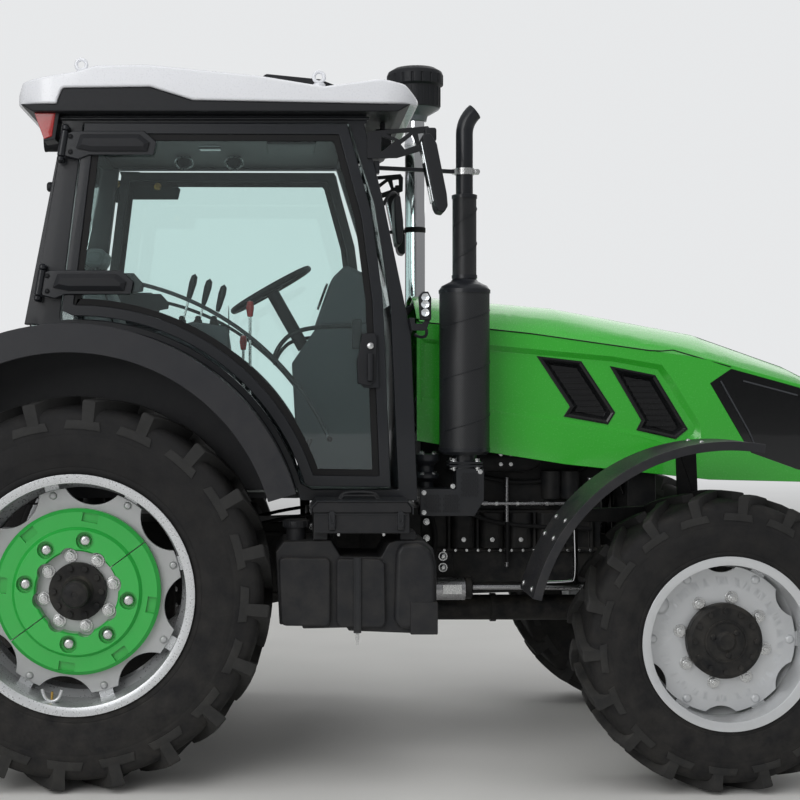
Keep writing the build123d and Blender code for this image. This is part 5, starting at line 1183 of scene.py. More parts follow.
class TRACTOR_OT_hood(Operator):
    """Shape the hood's chamfered field, its vents, panel gap, lamp strips and nose latch"""
    bl_idname = "tractor.hood"
    bl_label = "Hood"

    def execute(self, context):
        panels = opened("hood_panels")
        for side in (-1, 1):
            for corner, outer, inner in zip(RECESS, RECESS_OUTER, RECESS_INNER):
                for depth, target in ((400, outer), (393, inner)):
                    place = at(corner[0], side * depth, corner[1])
                    if not pick(panels, lambda co, n: (co - place).length < 0.002, "VERT"):
                        raise RuntimeError("a corner of the hood's field is missing")
                    bpy.ops.transform.translate(value=at(target[0], side * depth, target[1]) - place)
            pick(panels, lambda co, n: 0.384 < co.y * side < 0.3945 and 1.26 < co.z < 1.745
                and at(1384, 0, 0).x < co.x < at(2500, 0, 0).x, "VERT")
            bpy.ops.transform.translate(value=(0, -side * 0.011, 0))
        rounded(panels, 2.0)
        fit("hood_shell", "hood_green", panels, body="hood", stands_for=("hood_panels",))
        # grille node without its vent plates, which deeper trays take over
        grilles = opened("hood_grilles")
        pick(grilles, lambda co, n: abs(co.y) > 0.37 and co.x < at(2520, 0, 0).x)
        bpy.ops.mesh.delete(type="FACE")
        rounded(grilles, 1.2)
        fit("hood_grille_parts", "moulded_black", grilles, body="hood", stands_for=("hood_grilles",))
        for k, outline in enumerate(VENTS):
            lip, sill, floor = shrunk(outline, -3), shrunk(outline, 12), shrunk(outline, 27)
            vent = tray([(lip, -378), (lip, -385.5), (shrunk(outline, 4), -386.5), (sill, -382), (floor, -361)], 1.2)
            slats = []
            low, high = min(z for _, z in floor), max(z for _, z in floor)
            for level in range(int(low) + 22, int(high) - 10, 24):
                xs = [x0 + (x1 - x0) * (level - z0) / (z1 - z0) for (x0, z0),
                    (x1, z1) in zip(floor, floor[1:] + floor[:1]) if (z0 - level) * (z1 - level) < 0]
                if len(xs) == 2:
                    slats.append(block((min(xs) + 2, -370, level - 3), (max(xs) - 2, -361, level + 3), 1.5))
            both_sides(f"vent_{k + 1}", "vent_gloss", "hood", vent, *slats, angle=25)
        # the gap between the top panel and the side panels
        gap = ((1348, 1806), (1814, 1757), (2312, 1686), (2360, 1684), (2408, 1688), (2649, 1618))
        both_sides("panel_gap", "seal_black", "hood", pipe([(x, -hood_half(x) - 0.2, z) for x, z in gap], 2.6,
            smooth=False))
        # strips behind the smoked panel
        strips = [pipe([(x, -(hood_half(x) + 1), z) for x, z in line], 4, smooth=False)
            for line in (((2606, 1560), (2725, 1350), (2752, 1290)), ((2700, 1560), (2930, 1500)))]
        both_sides("lamp_strips", "smoked_ring", "hood", *strips)
        # latch handle at the nose
        fit("nose_latch", "moulded_black", block((3238, -60, 1196), (3249, 60, 1216), 3), body="hood")
        return {"FINISHED"}


def hood_half(x):
    """Half width of the hood's side at a place along it, in millimetres."""
    return between(((1345, 400), (2560, 400), (2940, 380), (3180, 320), (3250, 250)), x)


# ---- exhaust and air intake
class TRACTOR_OT_exhaust(Operator):
    """Finish the exhaust, its clamp, flange bolts and guard, and the air intake with its cleaner"""
    bl_idname = "tractor.exhaust"
    bl_label = "Exhaust and air intake"

    def execute(self, context):
        mesh_levels = ((1275, 1929), (1973, 2313))
        axis = at(1525, -550, 0)
        finish_faces("exhaust_eased", "satin_black",
            lambda co, n: not any(low * MM < co.z < high * MM for low, high in mesh_levels) or abs(n.z) > 0.5
            or (co - axis).xy.length > 0.115)
        # end rings of the mesh and the seams that wind up it
        rings = [spun([(z, r - 1), (z, r + 3), (z + 14, r + 3), (z + 14, r - 1)], at(1525, -550, 0), "Z", 48,
            closed=True) for z, r in ((1276, 101.5), (1914, 101.5), (1974, 48.5), (2298, 48.5))]
        for start, radius, steps in ((1350, 103, 26), (1560, 103, 26), (1770, 103, 20), (2040, 50, 18), (2180, 50, 18)):
            turn = [math.radians(200 + 10 * k) for k in range(steps)]
            rings.append(pipe([(1525 + radius * math.cos(a), -550 + radius * math.sin(a), start + 5 * k) for k,
                a in enumerate(turn)], 1.6))
        fit("muffler_rings", "satin_black", *rings)
        # bright clamp with its ears and its bolt
        band = spun([(2394, 34.6), (2394, 39.5), (2420, 39.5), (2420, 34.6)], at(1525, -550, 0), "Z", 40, closed=True)
        ears = block((1562, -558, 2396), (1584, -542, 2418), 2)
        bolt = bolts([(1576, -558, 2407)], 15, 8)
        near_ears = block((1474, -566, 2396), (1492, -548, 2418), 2)
        fit("exhaust_clamp", "zinc", band, ears, bolt, near_ears)
        # flange plates under the muffler with four bright bolts, and the stub beside them
        flange = [block((1458, -612, 1213), (1592, -488, 1222), 2), block((1458, -612, 1226), (1592, -488, 1235), 2)]
        fit("muffler_flange", "satin_black", *flange)
        heads = bolts([(x, y, 1235) for x in (1478, 1572) for y in (-598, -502)], 17, 12, (0, 0, 1))
        nuts = bolts([(x, y, 1213) for x in (1478, 1572) for y in (-598, -502)], 17, 14, (0, 0, -1))
        stub = [(1370 + 49 * math.cos(a), -500 + 49 * math.sin(a)) for a in (0.5, 1.8, 3.4, 4.4, 5.4)]
        stub_bolts = bolts([(x, y, 1262) for x, y in stub], 13, 9, (0, 0, 1))
        low_bolts = bolts([(x, y, 1180) for x, y in stub], 13, 9, (0, 0, 1))
        side = bolts([(1472, -605, 1136), (1356, -605, 1030), (1356, -605, 1110), (1582, -605, 1194)], 13, 7)
        fit("exhaust_bolts", "zinc", heads, nuts, stub_bolts, low_bolts, side)
        # rows of holes in the elbow's guard, drawn as small sunk slots
        slots = []
        for x0, x1, z0, z1 in ((1362, 1420, 1036, 1108), (1438, 1500, 1036, 1108), (1510, 1580, 1100, 1186)):
            for i, z in enumerate(range(z0, z1, 12)):
                slots += [(x, -605.2, z) for x in range(x0 + (7 if i % 2 else 0), x1, 14)]
        hole = spun([(0, 3.6), (-0.6, 4.2), (-0.6, 5.0), (0, 5.4)], at(*slots[0]), steps=10)
        fit("guard_hole", "seal_black", strewn(hole, slots))
        # bent bright drain pipe beside the cab
        fit("drain_pipe", "zinc", pipe([(1268, -560, 1150), (1272, -560, 1098), (1290, -560, 1090), (1345, -555, 1086)],
            5))
        # clamps and boots of the air intake
        finish_faces("air_intake_eased", "seal_black", lambda co, n: 2258 * MM < co.z < 2304 * MM)
        fit("intake_boot", "seal_black", spun([(1186, 48), (1186, 60), (1196, 62), (1206, 58), (1216, 62), (1226, 58),
            (1236, 62), (1290, 60), (1296, 54), (1300, 48)], at(1415, 520, 0), "Z", 40, closed=True))
        bands = [spun([(z, 47.2), (z, 50), (z + 12, 50), (z + 12, 47.2)], at(1415, 520, 0), "Z", 40, closed=True)
            for z in (1310, 2668, 2744)]
        fit("intake_clamps", "zinc", *bands)
        finish_faces("precleaner_eased", "smoky_plastic", lambda co, n: co.z < 2846 * MM)
        fins = block((1529, 516, 2856), (1536, 524, 2944), 1.5)
        fit("cleaner_fin", "moulded_black", ringed(fins, 24, at(1415, 520, 0), (0, 0, 1)))
        fit("cleaner_knob", "moulded_black", spun([(3033, 0), (3033, 26), (3036, 22), (3038, 8), (3039, 0)],
            at(1415, 520, 0), "Z", 24))
        return {"FINISHED"}


# ---- mirrors and lamps
class TRACTOR_OT_mirrors_lamps(Operator):
    """Make the mirrors with their pierced brackets and the work, marker and tail lamps"""
    bl_idname = "tractor.mirrors_lamps"
    bl_label = "Mirrors and lamps"

    def execute(self, context):
        # pierced bracket on the windscreen post
        bracket = plate([(1122, 2438), (1122, 2542), (1160, 2548), (1362, 2566), (1374, 2548), (1372, 2482),
            (1335, 2468), (1240, 2440)], -708.2, -722, 0)
        holes = [[(1176, 2462), (1176, 2524), (1232, 2508)], [(1200, 2534), (1290, 2542), (1248, 2512)], [(1254, 2494),
            (1300, 2530), (1316, 2490), (1270, 2474)], [(1328, 2500), (1322, 2536), (1352, 2540), (1354, 2502)]]
        cut(bracket, *[plate(hole, -690, -740, 0) for hole in holes])
        rounded(bracket, 2.5)
        bar = block((1336, -944, 2486), (1364, -722, 2514), 6, 3)
        foot = block((1326, -962, 2470), (1372, -906, 2522), 9, 3)
        settings = {"stands_for": ("mirrors",), "angle": 35}
        both_sides("mirror_arm", "moulded_black", "root", bracket, bar, foot, **settings)
        # head: a rounded shell thicker at its front, with the glass on its rear face
        outline = [(1310, 2478), (1318, 2487), (1342, 2489), (1366, 2452), (1404, 2262), (1408, 2215), (1394, 2192),
            (1372, 2196), (1362, 2212)]
        both_sides("mirror_head", "moulded_black", "root", plate(outline, -902, -1030, 14, 4), **settings)
        glass = block((1329, -1018, 2232), (1336, -914, 2462), 2.5)
        turned(glass, -11.5, "Y", at(1332, -965, 2347))
        both_sides("mirror_glass", "mirror_glass", "root", glass)
        # small mirror in front of the post
        small = plate([(1246, 2112), (1238, 2200), (1236, 2290), (1246, 2314), (1262, 2306), (1274, 2200), (1272, 2124),
            (1262, 2106)], -440, -600, 10, 3)
        stalk = pipe([(1190, -668, 2262), (1206, -640, 2300), (1248, -560, 2330), (1256, -520, 2300)], 7)
        fit("front_mirror", "moulded_black", small, stalk, angle=35)
        # marker lamps: chrome bowls under a clear lens on each bracket
        both_sides("marker_lens", "clear_lens", "root", plate([(1330, 1806), (1326, 1884), (1338, 1900), (1354, 1900),
            (1362, 1880), (1362, 1806)], -790, -800, 3, 3))
        bowls = [spun([(-792.6, 0), (-792.6, 8), (-794, 14), (-796, 15.5), (-796, 13), (-794, 8), (-793.5, 0)],
            at(1344, 0, z), steps=24) for z in (1826, 1858, 1886)]
        both_sides("marker_bowls", "lamp_reflector", "root", *bowls)
        both_sides("marker_arm", "moulded_black", "root", pipe([(1350, -770, 1760), (1356, -762, 1738),
            (1330, -740, 1728), (1310, -712, 1742)], 6))
        # work lamps under the roof: bezel, reflector and lens on both ends of the cab
        bezels, bowls, lenses = [], [], []
        for x, way in ((-150, -1), (1196, 1)):
            for y in (-500, 500):
                face = x + way * 28
                bezels.append(spun([(face - way * 4, 47), (face + way * 5, 47), (face + way * 5, 40),
                    (face - way * 4, 40)], at(0, y, 2542), "X", 36, closed=True))
                bowls.append(spun([(face + way * 0.6, 40), (face + way * 0.5, 22), (face + way * 1.5, 10),
                    (face + way * 2.5, 0)], at(0, y, 2542), "X", 36))
                lenses.append(spun([(face + way * 3, 41), (face + way * 6, 39), (face + way * 8, 24),
                    (face + way * 8.6, 0)], at(0, y, 2542), "X", 36))
        fit("work_lamp_bezels", "moulded_black", *bezels)
        fit("work_lamp_bowls", "lamp_reflector", *bowls)
        fit("work_lamp_lenses", "clear_lens", *lenses)
        # backs of the tail lamps
        both_sides("tail_back", "moulded_black", "root", plate([(-108, 2611), (-90, 2611), (-106, 2508), (-152, 2500),
            (-148, 2509), (-121, 2519)], -646, -756, 2))
        return {"FINISHED"}


# ---- below the cab
class TRACTOR_OT_side_boxes(Operator):
    """Fit the tool box's lid, handle and latches, the tank's strap and cap and the steps' treads"""
    bl_idname = "tractor.side_boxes"
    bl_label = "Tool box, tank and steps"

    def execute(self, context):
        # tool box: bent lid edge, wire handle, draw latches and foot screws
        fit("lid_edge", "satin_black", plate([(893, 1050), (893, 1075), (917, 1102), (1265, 1102), (1286, 1075),
            (1286, 1050), (1281, 1050), (1281, 1075), (1263, 1098), (919, 1098), (898, 1075), (898, 1050)], -720, -952,
            1.2))
        grip = pipe([(1006, -826, 1098), (1012, -826, 1112), (1030, -826, 1124), (1084, -826, 1128), (1138, -826, 1124),
            (1156, -826, 1112), (1162, -826, 1098)], 7)
        feet = [block((x - 16, -842, 1096), (x + 16, -810, 1103), 2) for x in (1006, 1162)]
        fit("box_handle", "moulded_black", grip, *feet)
        latches = []
        for x in (975, 1237):
            latches += [plate([(x - 13, 1010), (x - 13, 1040), (x - 9, 1062), (x + 9, 1062), (x + 13, 1040),
                (x + 13, 1010), (x + 7, 1000), (x - 7, 1000)], -936, -951, 2), pipe([(x - 8, -952, 1048),
                (x - 8, -957, 1024), (x, -958, 1016), (x + 8, -957, 1024), (x + 8, -952, 1048)], 2.2),
                rod((x - 15, -948, 1052), (x + 15, -948, 1052), 3, 12, 0.8)]
        fit("box_latches", "satin_black", *latches)
        fit("box_screws", "zinc", bolts([(1003, -860, 977), (1178, -860, 977)], 10, 16, (0, 0, -1), washer=False))
        rib = block((908, -938, 1046), (1269, -934, 1052), 1.2)
        low_rib = block((908, -938, 981), (1269, -934, 986), 1.2)
        fit("box_ribs", "satin_black", rib, low_rib)
        # tank: body, two proud fields with a groove between them, a lobe at the front and a corner guard
        sections = (([(775, 622), (760, 900), (790, 940), (973, 946), (1010, 884), (1165, 882), (1195, 935),
            (1230, 946), (1330, 944), (1366, 915), (1379, 850), (1379, 590), (1330, 587), (1040, 598), (1036, 610),
            (865, 606), (861, 622)], -560, -889, 14), ([(780, 632), (772, 872), (790, 882), (958, 880), (970, 868),
            (970, 632), (958, 618), (794, 620)], -870, -913, 20), ([(994, 632), (994, 868), (1004, 878), (1160, 876),
            (1178, 860), (1182, 632), (1168, 614), (1008, 614)], -870, -913, 20), ([(1214, 640), (1222, 900),
            (1240, 934), (1322, 936), (1356, 908), (1372, 850), (1374, 640), (1350, 606), (1240, 606)], -870, -916, 22))
        parts = [plate(outline, near, far, bevel, 4) for outline, near, far, bevel in sections]
        parts += [block((1276, -921, 588), (1381, -700, 712), 4), rod((840, -790, 930), (840, -790, 990), 38, 36)]
        fit("tank_shell", "moulded_black", *parts, stands_for=("fuel_tank",), angle=40)
        # strap, its bolt and end, filler cap with grips
        strap = block((1058, -922, 594), (1088, -916, 884), 2)
        edge = [block((x, -925, 600), (x + 4, -920, 880), 1.2) for x in (1060, 1082)]
        fit("tank_strap", "satin_black", strap, *edge)
        tail = block((1068, -915, 548), (1078, -911, 592), 1)
        strap_bolt = bolts([(1073, -904, 598)], 15, 30, (0, 0, -1))
        fit("strap_end", "zinc", tail, strap_bolt)
        cap = spun([(988, 36), (988, 48), (996, 50), (1012, 50), (1018, 44), (1018, 0)], at(840, -790, 0), "Z", 40)
        grips = block((884, -794, 990), (893, -786, 1016), 1.5)
        fit("tank_cap", "moulded_black", cap, ringed(grips, 12, at(840, -790, 0), (0, 0, 1)))
        # steps: raised treads on the three boards on the left side
        cleats = []
        for x0, x1, z, near, far in ((900, 1260, 510, 640, 900), (890, 1250, 790, 640, 880),
                (880, 1240, 1040, 640, 860)):
            places = [(x, y, z) for x in range(x0 + 24, x1 - 10, 26) for y in range(near + 20, far - 10, 30)]
            cleat = added("cylinder", vertices=6, radius=0.0075, depth=0.005, location=at(*places[0]))
            edit(cleat)
            pick(cleat, lambda co, n: n.z > 0.9)
            bpy.ops.mesh.inset(thickness=0.003)
            bpy.ops.transform.translate(value=(0, 0, -0.0015))
            leave()
            cleats.append(strewn(cleat, places))
        fit("step_cleats", "satin_black", *cleats)
        lip = [block((x0 - 4, far - 2, z - 4), (x1 + 4, far + 6, z + 34), 2.5) for x0, x1, z,
            far in ((900, 1260, 480, 900), (890, 1250, 760, 880), (880, 1240, 1010, 860))]
        fit("step_edges", "satin_black", *lip)
        return {"FINISHED"}


class TRACTOR_OT_fender_trim(Operator):
    """Fit the fenders' rubber lips, bolts, stays and rear lamps"""
    bl_idname = "tractor.fender_trim"
    bl_label = "Fender trim"

    def execute(self, context):
        # edge bead round each rear fender
        points = [polar(893, a, -20, 880) for a in (18, 30, 45, 60, 75, 90, 105, 120, 135, 150, 164)]
        both_sides("fender_bead", "seal_black", "root", pipe([(x, -1027, z) for x, z in points], 5))
        both_sides("fender_rib", "fender_black", "root", pipe([(x, -800, z) for x, z in [polar(897.5, a, -20, 880)
            for a in range(100, 160, 6)]], 4))
        # bolts on the front fenders and the bright stays
        heads = []
        for angle in (97, 143, 149, 164.8):
            x, z = polar(763, angle, 2470, 568)
            out = Vector((math.cos(math.radians(angle)), 0, math.sin(math.radians(angle))))
            for y in (-760, -960):
                heads.append(bolts([(x, y, z)], 15, 7, out, domed=True))
        both_sides("fender_bolts", "zinc", "steer_{}", *heads)
        both_sides("fender_stay", "bright_chrome", "steer_{}", pipe([(1945, -672, 1020), (1950, -672, 900),
            (1952, -674, 768), (1930, -672, 756), (1752, -672, 755)], 9, smooth=True))
        # stop and turn lamps on the rear fenders
        corners = [polar(894, 158, -20, 880), polar(894, 152, -20, 880), polar(908, 152.4, -20, 880),
            polar(908, 157.6, -20, 880)]
        for near, far, finish, label in ((-800, -900, "red_lens", "stop"), (-902, -990, "amber_lens", "turn")):
            both_sides(f"fender_{label}_lamp", finish, "root", plate(corners, near, far, 4))
        return {"FINISHED"}


def polar(radius, degrees, x=0, z=0):
    """A point in the side view at a radius and an angle from a centre."""
    return (x + radius * math.cos(math.radians(degrees)), z + radius * math.sin(math.radians(degrees)))


# ---- seat
def stuffed(outline, half, rounding, voxel, cap, seams=()):
    """A crowned cushion puffed by a short cloth simulation, then sewn along its seams."""
    piece = plate(outline, -half, half, rounding, 4)
    only(piece)
    piece.data.remesh_voxel_size = voxel
    bpy.ops.object.voxel_remesh()
    rest = [vert.co.copy() for vert in piece.data.vertices]
    cloth = piece.modifiers.new("cloth", "CLOTH")
    cloth.settings.quality = 5
    cloth.settings.use_pressure = True
    cloth.settings.uniform_pressure_force = 4.0
    cloth.settings.effector_weights.gravity = 0
    cloth.point_cache.frame_start, cloth.point_cache.frame_end = 1, 20
    for step in range(1, 21):
        bpy.context.scene.frame_set(step)
    only(piece)
    bpy.ops.object.modifier_apply(modifier=cloth.name)
    bpy.context.scene.frame_set(1)
    for vert, start in zip(piece.data.vertices, rest):
        move = vert.co - start
        if move.length > cap:
            vert.co = start + move.normalized() * cap
    applied(piece, "SUBSURF", levels=1, render_levels=1)
    # each seam: axis, place, depth, width, then the side that it runs on
    for axis, place, depth, width, side in seams:
        for vert in piece.data.vertices:
            if side(vert.co):
                away = abs(vert.co[axis] - place) / width
                if away < 3:
                    vert.co -= vert.normal * depth * math.exp(-away * away)
    return piece


class TRACTOR_OT_seat(Operator):
    """Stuff and sew the driver's seat and build its suspension and rails"""
    bl_idname = "tractor.seat"
    bl_label = "Seat"

    def execute(self, context):
        # the sides that the seams run on
        def upper(co):
            return co.z > 1.560

        def forward(co):
            return co.x > at(20, 0, 0).x

        cushion = stuffed([(-34, 1470), (-48, 1552), (-4, 1592), (418, 1622), (462, 1592), (450, 1510), (398, 1466)],
            236, 26, 0.010, 0.016, [(1, y, 0.007, 0.008, upper) for y in (-0.150, 0.150)] + [(0, at(x, 0, 0).x, 0.006,
            0.008, lambda co: upper(co) and abs(co.y) < 0.150) for x in (150, 290)])
        back = stuffed([(-40, 1560), (-72, 1900), (-64, 2040), (-6, 2042), (52, 1896), (108, 1640), (78, 1556)], 226,
            26, 0.010, 0.016, [(1, y, 0.007, 0.008, forward) for y in (-0.140, 0.140)] + [(2, 1.72, 0.006, 0.008,
            lambda co: forward(co) and abs(co.y) < 0.140), (2, 1.85, 0.006, 0.008, lambda co: co.x > at(10, 0, 0).x
            and abs(co.y) < 0.140)])
        rest = stuffed([(-64, 2060), (-72, 2116), (-54, 2132), (10, 2132), (28, 2106), (6, 2058)], 130, 18, 0.008,
            0.010, [(2, 2.096, 0.004, 0.007, lambda co: co.x > at(10, 0, 0).x)])
        for name, piece in (("seat_cushion", cushion), ("seat_back", back), ("seat_headrest", rest)):
            fit(name, "seat_cloth", piece, stands_for=("seat",), angle=80)
        # piping along the cushion's upper edge
        cords = []
        for side in (-1, 1):
            cords += [pipe([(0, side * 232, 1588), (200, side * 238, 1602), (418, side * 234, 1612)], 4),
                pipe([(100, side * 222, 1660), (56, side * 228, 1860), (4, side * 222, 2030)], 4)]
        fit("seat_piping", "seal_black", *cords)
        # hard parts: shell behind the back, side panels, bellows over the suspension, rails, armrests
        shell = plate([(-86, 1560), (-90, 1890), (-80, 2040), (-66, 2048), (-70, 1900), (-52, 1560)], -215, 215, 8)
        pan = plate([(-56, 1462), (-40, 1450), (398, 1450), (452, 1488), (440, 1500), (390, 1472), (-40, 1474)], -245,
            245, 5)
        stalks = [rod((-20, y, 2020), (-22, y, 2070), 6) for y in (-60, 60)]
        hinge = [spun([(side * 236, 0), (side * 236, 40), (side * 247, 36), (side * 249, 0)], at(40, 0, 1560), steps=28)
            for side in (-1, 1)]
        arms = []
        for y in (-262, 262):
            arms += [block((60, y - 24, 1752), (330, y + 24, 1790), 14, 3), plate([(30, 1700), (30, 1760), (90, 1770),
                (90, 1744)], y - 8, y + 8, 5)]
        fit("seat_shell", "moulded_black", shell, pan, *stalks, *hinge, *arms, stands_for=("seat",), angle=40)
        bellows = spun([(1262 + 12 * k, 186 + k % 2 * 10) for k in range(16)], at(205, 0, 0), "Z", 4)
        edit(bellows)
        bpy.ops.transform.rotate(value=math.radians(45), orient_axis="Z", center_override=at(205, 0, 0))
        bpy.ops.transform.resize(value=(1.0, 1.15, 1), center_override=at(205, 0, 0))
        leave()
        rails = [block((20, y - 16, 1255), (400, y + 16, 1275), 4) for y in (-150, 150)]
        fit("seat_suspension", "seal_black", bellows, *rails, stands_for=("seat",), angle=20)
        return {"FINISHED"}


# ---- engine and underside
class TRACTOR_OT_engine_bay(Operator):
    """Build up the engine's covers, pipes, hoses, filters, belt and radiator under the hood"""
    bl_idname = "tractor.engine_bay"
    bl_label = "Engine bay"

    def execute(self, context):
        black, bright, rubber = [], [], []
        # valve cover with ribs and its filler, fuel injection pipes over it
        black.append(block((1490, -146, 1586), (2040, 146, 1618), 12, 3))
        black += [block((x, -120, 1612), (x + 10, 120, 1628), 3) for x in range(1540, 2010, 56)]
        black.append(spun([(1616, 0), (1616, 40), (1636, 42), (1648, 36), (1648, 0)], at(1960, 60, 0), axis="Z"))
        for k in range(4):
            x = 1560 + 122 * k
            bright += [pipe([(x, -196, 1290), (x + 6, -214, 1420), (x - 10, -204, 1560), (x + 20, -170, 1600),
                (x + 24, -150, 1586)], 5), bolts([(x, -196, 1290)], 16, 14, (0, 0, 1), washer=False)]
        # injection pump, fuel filters, starter and alternator on both sides
        black += [spun([(1600, 0), (1600, 52), (1650, 58), (1820, 58), (1860, 44), (1880, 30), (1880, 0)],
            at(0, -232, 1230), "X", 32, closed=False), spun([(1440, 0), (1440, 44), (1560, 48), (1600, 40), (1620, 24),
            (1620, 0)], at(0, 238, 800), "X", 32), spun([(2040, 0), (2040, 60), (2050, 72), (2130, 72), (2140, 60),
            (2140, 0)], at(0, 238, 1240), "X", 36)]
        for x, y in ((1930, -236), (2010, -236)):
            black.append(spun([(1060, 0), (1060, 34), (1070, 42), (1178, 44), (1182, 30), (1182, 0)], at(x, y, 0), "Z",
                32))
        # hoses and wiring
        for points, radius in (([(2236, -120, 1500), (2180, -130, 1510), (2120, -110, 1470), (2060, -120, 1440)], 26),
                ([(2236, 150, 900), (2190, 160, 890), (2160, 196, 930), (2140, 196, 1010)], 26), ([(1500, -196, 1180),
                (1640, -210, 1150), (1820, -206, 1120), (2060, -214, 1160), (2130, -210, 1240)], 11),
                ([(1470, -216, 1060), (1600, -226, 980), (1780, -224, 940), (2100, -220, 930)], 9),
                ([(1400, -200, 1040), (1432, -226, 960), (1440, -232, 860), (1420, -226, 780)], 12),
                ([(1745, -236, 790), (1742, -240, 860), (1744, -236, 960)], 10), ([(1480, 196, 1180), (1700, 214, 1130),
                (1900, 208, 1120), (2120, 216, 1180)], 11)):
            rubber.append(pipe(points, radius))
        # clips on the fuel pipe and small bright screws
        for side in (-1, 1):
            bright += [spun([(x, 8.2), (x, 11), (x + 12, 11), (x + 12, 8.2)], at(0, side * 240, 1040), "X", 20,
                closed=True) for x in (1690, 1780, 1905, 2000)]
        bright += [bolts([(x, -221, 884) for x in range(1560, 1980, 122)], 13, 7), bolts([(x, -209, 838)
            for x in range(1430, 2110, 48)], 11, 6, washer=False), bolts([(1473, -206, 812), (1424, -206, 762),
            (1473, -206, 764)], 26, 16, domed=True), bolts(ring_of(1730, 1230, -290, 30, (45, 135, 225, 315)), 11, 6)]
        # connector by the fender
        bright.append(rod((2092, -250, 1108), (2092, -250, 1150), 9))
        # filter canister under the cab's front corner: bands, blank plate and rod nuts
        black.append(spun([(1552, 0), (1552, 40), (1558, 47), (1580, 47), (1586, 38), (1586, 0)], at(0, -300, 690), "X",
            32))
        bright += [block((1458, -349, 668), (1538, -346, 708), 1), spun([(1578, 0), (1578, 30), (1584, 30), (1584, 0)],
            at(0, -300, 692), "X", 28), bolts([(1846, -300, 692)], 34, 18, (1, 0, 0))]
        black.append(plate([(1390, 700), (1390, 840), (1500, 840), (1520, 790), (1520, 700)], -190, -204, 3))
        # turbo and manifold beside the exhaust stub
        black.append(spun([(1392, 0), (1392, 60), (1404, 76), (1430, 80), (1446, 60), (1452, 40), (1452, 0)],
            at(0, 270, 1420), "X", 36))
        rubber.append(pipe([(1415, 470, 1240), (1415, 380, 1250), (1420, 320, 1320), (1420, 280, 1400)], 40))
        # radiator's fins, cap and frame, fan and belt
        fins = [block((2361, -270, z), (2364, 270, z + 4), 0.6) for z in range(880, 1530, 14)]
        black.append(block((2250, -280, 1540), (2356, 280, 1572), 10, 3))
        bright.append(spun([(1572, 0), (1572, 34), (1582, 36), (1592, 28), (1592, 0)], at(2300, 140, 0), "Z", 28))
        blade = plate([(30, 1180), (60, 1180), (96, 1400), (10, 1400)], 2214, 2219, 1.5, axis="X")
        turned(blade, 24, "Z", at(2216, 45, 1290))
        fan = ringed(blade, 7, at(2216, 0, 1130), (1, 0, 0))
        hub = spun([(2206, 0), (2206, 56), (2226, 56), (2230, 40), (2230, 0)], at(0, 0, 1130), "X", 28)
        black += [fan, hub]
        pulleys = [spun([(2170, 0), (2170, r), (2176, r + 6), (2182, r), (2188, r), (2194, r + 6), (2200, r),
            (2200, 0)], at(0, y, z), "X", 32) for y, z, r in ((0, 840, 80), (0, 1130, 60))]
        belt = pipe([(2185, -66, 1130), (2185, -88, 980), (2185, -86, 840), (2185, 0, 752), (2185, 86, 840),
            (2185, 88, 980), (2185, 66, 1130), (2185, 0, 1198), (2185, -66, 1130)], 7)
        rubber.append(belt)
        black += pulleys
        fit("engine_fittings", "chassis_black", *black)
        fit("engine_bright", "zinc", *bright)
        fit("engine_hoses", "seal_black", *rubber)
        fit("radiator_fins", "steel_bar", *fins)
        return {"FINISHED"}


class TRACTOR_OT_chassis(Operator):
    """Add bolts, ribs, lines and brackets to the transmission, axles and front frame"""
    bl_idname = "tractor.chassis"
    bl_label = "Chassis fittings"

    def execute(self, context):
        heads, cast = [], []
        # rows of flange bolts between the castings, on both sides
        for side in (-1, 1):
            way = (0, side, 0)
            for x, y, low, high in ((300, 190, 600, 940), (890, 215, 660, 980), (1378, 215, 680, 1000)):
                heads.append(bolts([(x + 24, side * y, z) for z in range(low, high, 70)], 19, 10, way))
            for x0, z0, x1, z1, y in ((360, 640, 820, 900, 190), (940, 700, 1330, 960, 215)):
                cast += [block((x0, side * y - 6, z0), (x1, side * y + 6, z0 + 16), 4),
                    block((x0, side * y - 6, z1), (x1, side * y + 6, z1 + 16), 4)]
                cast += [block((x, side * y - 6, z0), (x + 14, side * y + 6, z1), 4) for x in range(x0 + 60, x1, 120)]
            heads += [bolts([(x, side * 190, 700 + 60 * k) for x in (2800, 2900, 3080) for k in (0, 1)], 24, 12, way),
                bolts([(2470 + 34 * dx, side * 606, 568 + dz) for dx in (-1, 1) for dz in (-60, 60)], 19, 10, way)]
        # trumpet housings' flange rings and brake housings
        for side in (-1, 1):
            cast.append(spun([(side * 296, 100), (side * 296, 176), (side * 316, 176), (side * 320, 150)],
                at(0, 0, 750), steps=48))
            heads.append(bolts(ring_of(0, 750, side * 316, 164, range(0, 360, 30)), 19, 10, (0, side, 0)))
        # lines along the frame
        lines = [pipe([(300, side * 226, 900), (600, side * 214, 930), (900, side * 232, 1000),
            (1300, side * 236, 1030)], 8) for side in (-1, 1)]
        lines += [pipe([(2140, side * 130, 790), (2240, side * 110, 760), (2310, side * 60, 760),
            (2320, side * 56, 736)], 9) for side in (-1, 1)]
        bands = [spun([(x, 55), (x, 62), (x + 24, 62), (x + 24, 55)], at(0, 0, 566), "X", 32, closed=True)
            for x in (1250, 1700, 2120)]
        fit("chassis_bolts", "zinc", *heads)
        fit("chassis_castings", "chassis_black", *cast, *bands)
        fit("chassis_lines", "seal_black", *lines)
        # front tow pin with its handle
        pin = rod((3214, 0, 664), (3214, 0, 806), 14)
        knob = pipe([(3214, -30, 806), (3214, -30, 836), (3214, 30, 836), (3214, 30, 806)], 5)
        collar = spun([(800, 0), (800, 26), (810, 26), (810, 0)], at(3214, 0, 0), "Z", 24)
        fit("tow_pin", "zinc", pin, knob, collar)
        return {"FINISHED"}


